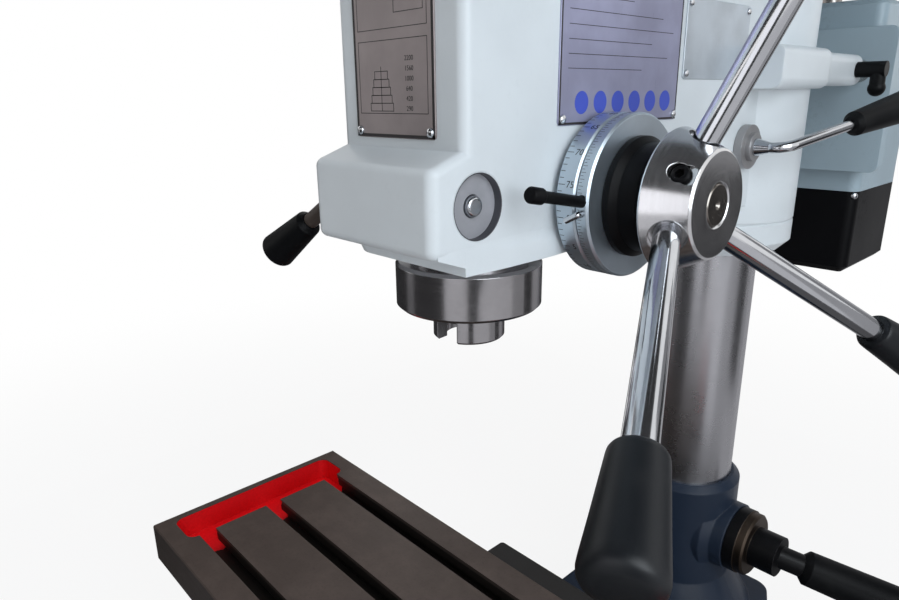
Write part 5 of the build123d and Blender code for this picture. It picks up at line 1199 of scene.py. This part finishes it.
@dataclass
class HeadForms:
    """Square foot under the chin, and a dark steel lining in the lock's seat that paints its wall's
    shade.
    """

    half_width: float = HEAD_SIDE
    front: float = HEAD_FRONT
    boss_r: float = 43.3 * MM
    heights: Pair = (429.1 * MM, 440.0 * MM)
    left_bends: Pair = (18.0 * MM, 6.0 * MM)
    bend_steps: int = 9
    side_steps: int = 12
    chin_front: float = 58.5 * MM
    chin_low: Pair = (438.5 * MM, 433.0 * MM)
    chin_inner: float = -34 * MM
    chin_steps: int = 5
    tuck: float = 0.5 * MM
    tuck_rate: float = 2.0
    lap: float = 0.3 * MM
    pad: float = 1.12 * MM
    pad_flat: float = 437.6 * MM
    pad_top: float = 443.3 * MM
    pad_inner: float = 36 * MM
    pad_pitch: float = 3.0 * MM
    pad_steps: int = 24
    pad_rise: float = 30 * MM
    pad_end: float = 28.5 * MM
    pad_fall: float = 18 * MM
    fade_rate: float = 4.0
    clear: float = 0.02 * MM
    sink: float = 0.06 * MM
    lining_r: float = 14.35 * MM
    lining_wall: float = 0.5 * MM
    lining_lip: float = 0.1 * MM
    lining_x: Pair = (38.4 * MM, 42.45 * MM)
    sharp: float = 40.0

    def build(self) -> None:
        """Builds both forms."""
        foot = Shape()
        foot.loft([self.corner(1, z, 0.0) for z in self.heights])
        foot.loft([self.corner(-1, z, bend) for z, bend in zip(self.heights, self.left_bends)])
        self.blend(foot)
        foot.piece("chin_foot", FOOT_PAINT, "head", "light_paint", self.sharp)
        # Painted shade: the dark lining stands for the shade on the lock seat's wall.
        seat = FlatSeat((0, COTTER.y, COTTER.z), BACK, UP)
        near, far = self.lining_x
        outer, inner = self.lining_r, self.lining_r - self.lining_wall
        profile = [(outer, near), (outer, far), (inner, far - self.lining_lip), (inner, near)]
        lining = Shape().lathe(profile, seat, 64)
        lining.piece("lock_seat_lining", SHADE_LINING_STEEL, "head", "dark_steel")

    def corner(self, way: int, z: float, bend: float) -> list[Vector]:
        """Gives the outline of a front corner of the foot.

        Args:
            way: 1 for the right corner, -1 for the left one.
            z: Height of the outline.
            bend: Radius of the corner.

        Returns:
            The outline, from the middle of the front round to the boss and back.
        """
        x, y = self.half_width - bend, -self.front + bend
        outline = [(0.0, -self.front)]
        for step in range(self.bend_steps + 1):
            turn = math.pi / 2 * step / self.bend_steps
            outline.append((x + bend * math.sin(turn), y - bend * math.cos(turn)))
        side = math.asin(self.half_width / self.boss_r)
        for step in range(self.side_steps + 1):
            turn = side * (1 - step / self.side_steps)
            outline.append((self.boss_r * math.sin(turn), -self.boss_r * math.cos(turn)))
        return [Vector((QUILL.x + way * x, QUILL.y + y, z)) for x, y in outline]

    def blend(self, foot: Shape) -> None:
        """Adds the slope under the chin and the swell on the foot's right side.

        Args:
            foot: The shape they are added to.
        """
        slope = self.chin_front - self.front
        start, end = self.chin_low
        chin, pad = [], []
        for step in range(self.chin_steps + 1):
            out = (slope + self.lap) * step / self.chin_steps
            low = start + (end - start) * out / slope
            chin.append(self.section(out - self.chin_front, low, self.chin_inner))
        for step in range(self.pad_steps + 1):
            y = self.lap + step * self.pad_pitch - self.front
            pad.append(self.section(y, self.heights[0], self.pad_inner))
        foot.loft(chin).loft(pad)

    def section(self, y: float, low: float, inner: float) -> list[Vector]:
        """Gives an outline across the foot, swelled where its side runs into the head's.

        Args:
            y: Place behind the quill's axis.
            low: Height of the underside.
            inner: Place of the hidden side.

        Returns:
            The outline.
        """
        rise = smooth((y + self.front) / self.pad_rise)
        fall = smooth((self.pad_end - y) / self.pad_fall)
        share = (y + self.chin_front) / (self.chin_front - self.front)
        tuck = self.tuck * (1 - smooth(share * self.tuck_rate))
        fade = min(1.0, fall * self.fade_rate)
        outline = [(inner, low)]
        for step in range(self.side_steps + 1):
            z = low + (self.pad_top - low) * step / self.side_steps
            lift = smooth((self.pad_top - z) / (self.pad_top - self.pad_flat))
            swell = self.pad * rise * fall * lift - self.sink * (1 - lift * fade)
            outline.append((self.half_width + self.clear + swell - tuck, z))
        outline.append((inner, self.pad_top))
        return [Vector((x, QUILL.y + y, z)) for x, z in outline]


@dataclass
class FeedForms:
    """Grips of the feed handles, the lock lever of the depth stop and the hub's set screw."""

    root_x: float = 82.4 * MM
    tilt: float = 25.0
    turns: Point = (205.5, 325.5, 85.5)
    start: float = 147.0 * MM
    grip: tuple[Pair, ...] = (
        (6.05, 6), (6.05, 0), (8.2, 0), (9.1, 0.4), (9.6, 1.4), (9.8, 2.8), (10.3, 10), (11.4, 26),
        (12.3, 37.5), (12.4, 40), (12.0, 42.2), (10.8, 43.8), (7.6, 44.8), (0, 45.0),
    )
    sharp: float = 50.0
    lever_x: float = 60.25 * MM
    lever_turn: float = 178.5
    lever_r: float = 37.5 * MM
    lever_way: float = 169.0
    lever: tuple[Pair, ...] = (
        (2.6, 0), (2.6, 29.5), (3.6, 30.3), (3.6, 36.6), (3.1, 37.4), (0, 37.5),
    )
    screw_x: float = 97.0 * MM
    screw_turn: float = 145.5
    screw_r: float = 22.5 * MM
    screw_head: float = 4.1 * MM

    def build(self) -> None:
        """Builds the three grips, the lever and the hub's set screw."""
        tilt = math.radians(self.tilt)
        for name, turn in zip("abc", self.turns):
            way = Vector(RIGHT) * math.sin(tilt) + spoke(turn) * math.cos(tilt)
            foot = Vector((self.root_x, FEED.y, FEED.z)) + way * self.start
            grip = Shape().lathe(scaled(self.grip, MM), standing(foot, way), 64)
            form = f"feed_grip_form_{name}"
            piece = grip.piece(form, GRIP_PLASTIC, "feed", "black_plastic", self.sharp)
            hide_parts(f"feed_grip_{name}")
        foot = Vector((self.lever_x, FEED.y, FEED.z)) + spoke(self.lever_turn) * self.lever_r
        seat = standing(foot, spoke(self.lever_way))
        lever = Shape().lathe(scaled(self.lever, MM), seat, 40)
        piece = lever.piece("depth_stop_lever", BLACK_PAINT, "dial", "dark_steel")
        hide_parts("dial_screw")
        way = spoke(self.screw_turn)
        foot = Vector((self.screw_x, FEED.y, FEED.z)) + way * self.screw_r
        screw = Shape().heads(Head.SOCKET, self.screw_head, [standing(foot, way)])
        screw.piece("hub_set_screw", BLACK_PAINT, "feed", "dark_steel")


@dataclass
class Fixings:
    """Screws and nuts that hold the machine together, and the spring case's cap."""

    cap: float = 4.4 * MM
    bracket_spot: Point = (304 * MM, 26.5 * MM, 135.5 * MM)
    front_spot: Point = (27 * MM, -264 * MM, 70 * MM)
    gib_spots: tuple[Point, ...] = tuple((100 * MM, y * MM, 92 * MM) for y in (-150, -71, 8))
    gib_nut: float = 4.2 * MM
    rod_spot: Pair = (52 * MM, 307 * MM)
    rod_nut: float = 7.5 * MM
    fan_inset: float = 2.3 * MM
    fan_drop: float = 3.4 * MM
    fan_screw: float = 2.8 * MM
    switch_inset: float = 7 * MM
    switch_height: float = 70 * MM
    switch_screw: float = 3.0 * MM
    spring_x: float = -66.5 * MM
    spring_r: float = 30 * MM
    spring_turns: Point = (90.0, 210.0, 330.0)
    spring_screw: float = 2.8 * MM
    spring_cap: tuple[Pair, ...] = ((14, 0), (14, 2), (13, 3), (0, 3))

    def build(self) -> None:
        """Builds the screws of each assembly."""
        x, y, z = self.bracket_spot
        brackets = [
            FlatSeat((side * x, QUILL.y, z), (0, side, 0), UP).moved(way * y)
            for side in SIDES for way in SIDES
        ]
        x, y, z = self.front_spot
        fronts = [FlatSeat((way * x, y, z), RIGHT, UP) for way in SIDES]
        gibs = [FlatSeat(spot, BACK, UP) for spot in self.gib_spots]
        x, y = self.rod_spot
        rods = [FlatSeat((-way * x, y, middle("slide_rods").z), LEFT, UP) for way in SIDES]
        low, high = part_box("motor_fan_cover")
        x, y, z = high.x - self.fan_inset, low.y + self.fan_inset, high.z - self.fan_drop
        fans = [
            FlatSeat((side * x, y, z), tuple(Vector((1, side, 0)).normalized()), UP)
            for side in SIDES
        ]
        low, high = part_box("switch_box")
        inset, depth = self.switch_inset, self.switch_height
        corners = [
            FlatSeat((low.x, y, high.z - drop), FRONT, UP)
            for y in (low.y + inset, high.y - inset) for drop in (inset, depth - inset)
        ]
        steel, nut = "dark_steel", "ground_steel"
        for name, finish, body, slot, head, radius, seats in (
            ("table_bracket_screws", SPRING_STEEL, "table", steel, Head.SOCKET, self.cap, brackets),
            ("saddle_bracket_screws", SPRING_STEEL, "base", steel, Head.SOCKET, self.cap, fronts),
            ("gib_nuts", PLAIN_STEEL, "saddle", nut, Head.NUT, self.gib_nut, gibs),
            ("slide_rod_nuts", PLAIN_STEEL, "motor", nut, Head.NUT, self.rod_nut, rods),
            ("fan_cover_screws", CHROME, "motor", "chrome", Head.DOME, self.fan_screw, fans),
            ("switch_box_screws", PLAIN_STEEL, "head", nut, Head.SLOT, self.switch_screw, corners),
        ):
            Shape().heads(head, radius, seats).piece(name, finish, body, slot)
        self.spring_case()

    def spring_case(self) -> None:
        """Builds the cap of the spring case and its screws."""
        seat = FlatSeat((self.spring_x, FEED.y, FEED.z), FRONT, UP)
        spots = [spoke(turn) * self.spring_r for turn in self.spring_turns]
        case = Shape().lathe(scaled(self.spring_cap, MM), seat, 48)
        case.heads(Head.SLOT, self.spring_screw, [seat.moved(spot.y, spot.z) for spot in spots])
        case.piece("spring_case_cap", SPRING_STEEL, "head", "dark_steel")


def aim(thing: bpy.types.Object, place: Point, target: Point) -> None:
    """Puts a thing at a place and points its -Z axis at a target."""
    thing.location = place
    thing.rotation_euler = (Vector(target) - Vector(place)).to_track_quat("-Z", "Y").to_euler()


def plane(name: str, size: Pair, material: bpy.types.Material) -> bpy.types.Object:
    """Makes a flat sheet about the origin.

    Args:
        name: Its name.
        size: Width and depth.
        material: Its material.

    Returns:
        The sheet.
    """
    x, y = size[0] / 2, size[1] / 2
    mesh = bpy.data.meshes.new(name)
    mesh.from_pydata([(-x, -y, 0), (x, -y, 0), (x, y, 0), (-x, y, 0)], [], [(0, 1, 2, 3)])
    mesh.materials.append(material)
    return add(name, mesh)


@dataclass(frozen=True)
class Lamp:
    """A soft box; metal doesn't show it where it isn't mirrored."""

    name: str
    place: Point
    target: Point
    size: Pair
    power: float
    color: Color
    mirrored: bool = True

    def hang(self) -> None:
        """Adds the lamp to the scene."""
        light = bpy.data.lights.new(self.name, "AREA")
        light.shape = "RECTANGLE"
        light.size, light.size_y = self.size
        light.energy = self.power
        light.color = self.color
        lamp = add(self.name, light)
        lamp.visible_glossy = self.mirrored
        aim(lamp, self.place, self.target)


@dataclass(frozen=True)
class Card:
    """A dim card that only reflections see."""

    name: str
    place: Point
    target: Point
    size: Pair
    shade: float
    coolness: float = 1.04

    def stand(self) -> None:
        """Sets the card up in the scene."""
        material, graph = new_material(self.name)
        graph.close(graph.glow((self.shade, self.shade, self.shade * self.coolness)))
        card = plane(self.name, self.size, material)
        card.visible_camera = False
        card.visible_diffuse = False
        card.visible_shadow = False
        aim(card, self.place, self.target)


@dataclass
class Studio:
    """Floor, lamps, reflecting cards, backdrop and camera."""

    width: float = 899.0
    focal: float = 669.07
    sensor: float = 36.0
    azimuth: float = 47.26
    elevation: float = 16.87
    roll: float = -0.76
    place: Point = (0.23834, -0.31896, 0.50219)
    near: float = 0.01
    ambient: Color = (0.2, 0.205, 0.215)
    floor_size: Pair = (12.0, 12.0)
    floor_color: Color = (0.86, 0.86, 0.87)
    floor_roughness: float = 0.8
    floor_glow: Pair = (0.86, 0.14)
    floor_span: Pair = (0.5, 1.5)
    lamps: tuple[Lamp, ...] = (
        Lamp("key_lamp", (1.0, -0.38, 0.85), (0.0, 0.05, 0.42), (0.7, 1.0), 9.5, (0.86, 0.94, 1.0)),
        Lamp("fill_lamp", (-0.5, -1.7, 1.0), (0.0, -0.1, 0.4), (1.2, 1.2), 1.6, (1.0, 0.95, 0.88)),
        Lamp("top_lamp", (0.1, 0.1, 2.1), (0.05, 0.0, 0.4), (1.4, 1.4), 18.0, WHITE, False),
    )
    flat_cards: tuple[Card, ...] = (
        Card("ceiling_card", (0.0, 0.0, 1.25), (0.0, 0.0, 0.0), (1.5, 1.5), 0.05),
        Card("ground_card", (0.0, 0.0, 0.0012), (0.0, 0.0, 1.0), (1.4, 1.4), 0.1),
    )
    ring: float = 0.45
    # Azimuth and spread in degrees, low and high edge, and shade of each card on the ring.
    ring_cards: tuple[tuple[float, ...], ...] = (
        (-80, 60, 0.0, 0.55, 0.04), (-44, 14, 0.0, 0.35, 0.2), (-15, 46, 0.0, 0.55, 0.05),
        (22, 28, 0.0, 0.16, 0.3), (22, 28, 0.16, 0.36, 0.6), (22, 28, 0.36, 0.6, 1.25),
        (43, 14, 0.0, 0.16, 0.7), (43, 14, 0.16, 0.5, 0.06), (76, 52, 0.0, 0.42, 0.6),
        (116, 28, 0.0, 0.45, 0.36), (141, 22, 0.0, 0.16, 0.42), (141, 22, 0.16, 0.43, 0.04),
        (141, 22, 0.43, 0.6, 0.25), (172, 40, 0.0, 0.5, 0.4), (215, 46, 0.0, 0.5, 0.06),
        (0, 92, 0.6, 1.05, 0.05),
    )

    def build(self) -> None:
        """Builds everything round the machine."""
        bpy.context.scene.view_settings.view_transform = "Standard"
        self.floor()
        self.backdrop()
        for lamp in self.lamps:
            lamp.hang()
        for number, (azimuth, spread, low, high, shade) in enumerate(self.ring_cards):
            turn, height = math.radians(azimuth), (low + high) / 2
            place = (math.sin(turn) * self.ring, -math.cos(turn) * self.ring, height)
            size = (2 * self.ring * math.tan(math.radians(spread / 2)), high - low)
            Card(f"card_{number}", place, (0.0, 0.0, height), size, shade).stand()
        for card in self.flat_cards:
            card.stand()
        self.camera()

    def background(self, graph: Graph) -> Wire:
        """Gives 1 on rays that see the backdrop itself: camera, glossy and transmitted ones.

        Args:
            graph: The graph that is wired.

        Returns:
            The mask.
        """
        outputs = graph.make("ShaderNodeLightPath").socket.node.outputs
        camera, glossy, through = (
            Wire(graph, outputs[f"Is {ray} Ray"]) for ray in ("Camera", "Glossy", "Transmission")
        )
        return graph.math("MAXIMUM", graph.math("MAXIMUM", camera, glossy), through)

    def backdrop(self) -> None:
        """Makes the world white to look at and a plain grey to be lit by."""
        world = bpy.data.worlds.new("backdrop")
        bpy.context.scene.world = world
        world.use_nodes = True
        graph = Graph(world.node_tree)
        color = graph.mix(self.background(graph), self.ambient, WHITE)
        graph.feed(world.node_tree.nodes["Background"].inputs["Color"], color)

    def floor(self) -> None:
        """Makes a pale floor that keeps the machine's shadow."""
        material, graph = new_material("pale_floor")
        pale = graph.surface({"Base Color": self.floor_color, "Roughness": self.floor_roughness})
        reach = graph.vector("LENGTH", graph.point(), out=1)
        near, gain = self.floor_glow
        share = near + graph.ramp(reach, *self.floor_span) * gain
        seen = self.background(graph) * share
        sockets = {0: seen, 1: pale, 2: graph.glow(WHITE)}
        graph.close(graph.make("ShaderNodeMixShader", None, sockets))
        plane("floor", self.floor_size, material)

    def camera(self) -> None:
        """Sets the camera where the picture was taken from."""
        data = bpy.data.cameras.new("camera")
        data.sensor_fit = "HORIZONTAL"
        data.sensor_width = self.sensor
        data.lens = self.focal * self.sensor / self.width
        data.clip_start = self.near
        camera = add("camera", data)
        azimuth, elevation = math.radians(self.azimuth), math.radians(self.elevation)
        right = Vector((math.cos(azimuth), math.sin(azimuth), 0))
        level = Vector((math.sin(azimuth), -math.cos(azimuth), 0))
        back = level * math.cos(elevation) + Vector(UP) * math.sin(elevation)
        turn = Matrix((right, back.cross(right), back)).transposed()
        turn = turn @ Matrix.Rotation(math.radians(self.roll), 3, "Z")
        camera.matrix_world = Matrix.Translation(self.place) @ turn.to_4x4()
        bpy.context.scene.camera = camera


def main() -> None:
    """Dresses the machine and sets the studio."""
    logging.basicConfig(level=logging.INFO, format="%(message)s")
    Solids(NODE_FINISHES).dress()
    DriveBelt().build()
    HeadPlates().build()
    DepthScale().build()
    HeadForms().build()
    FeedForms().build()
    across, along = middle("table_screw"), middle("saddle_screw")
    table_collar = (304.3 * MM, across.y, across.z)
    saddle_collar = (along.x, -264.3 * MM, along.z)
    WheelScale("table_collar_marks", "table_wheel", table_collar, RIGHT).build()
    WheelScale("saddle_collar_marks", "saddle_wheel", saddle_collar, FRONT).build()
    Fixings().build()
    Studio().build()
    bpy.context.view_layer.update()


if __name__ == "__main__":
    main()
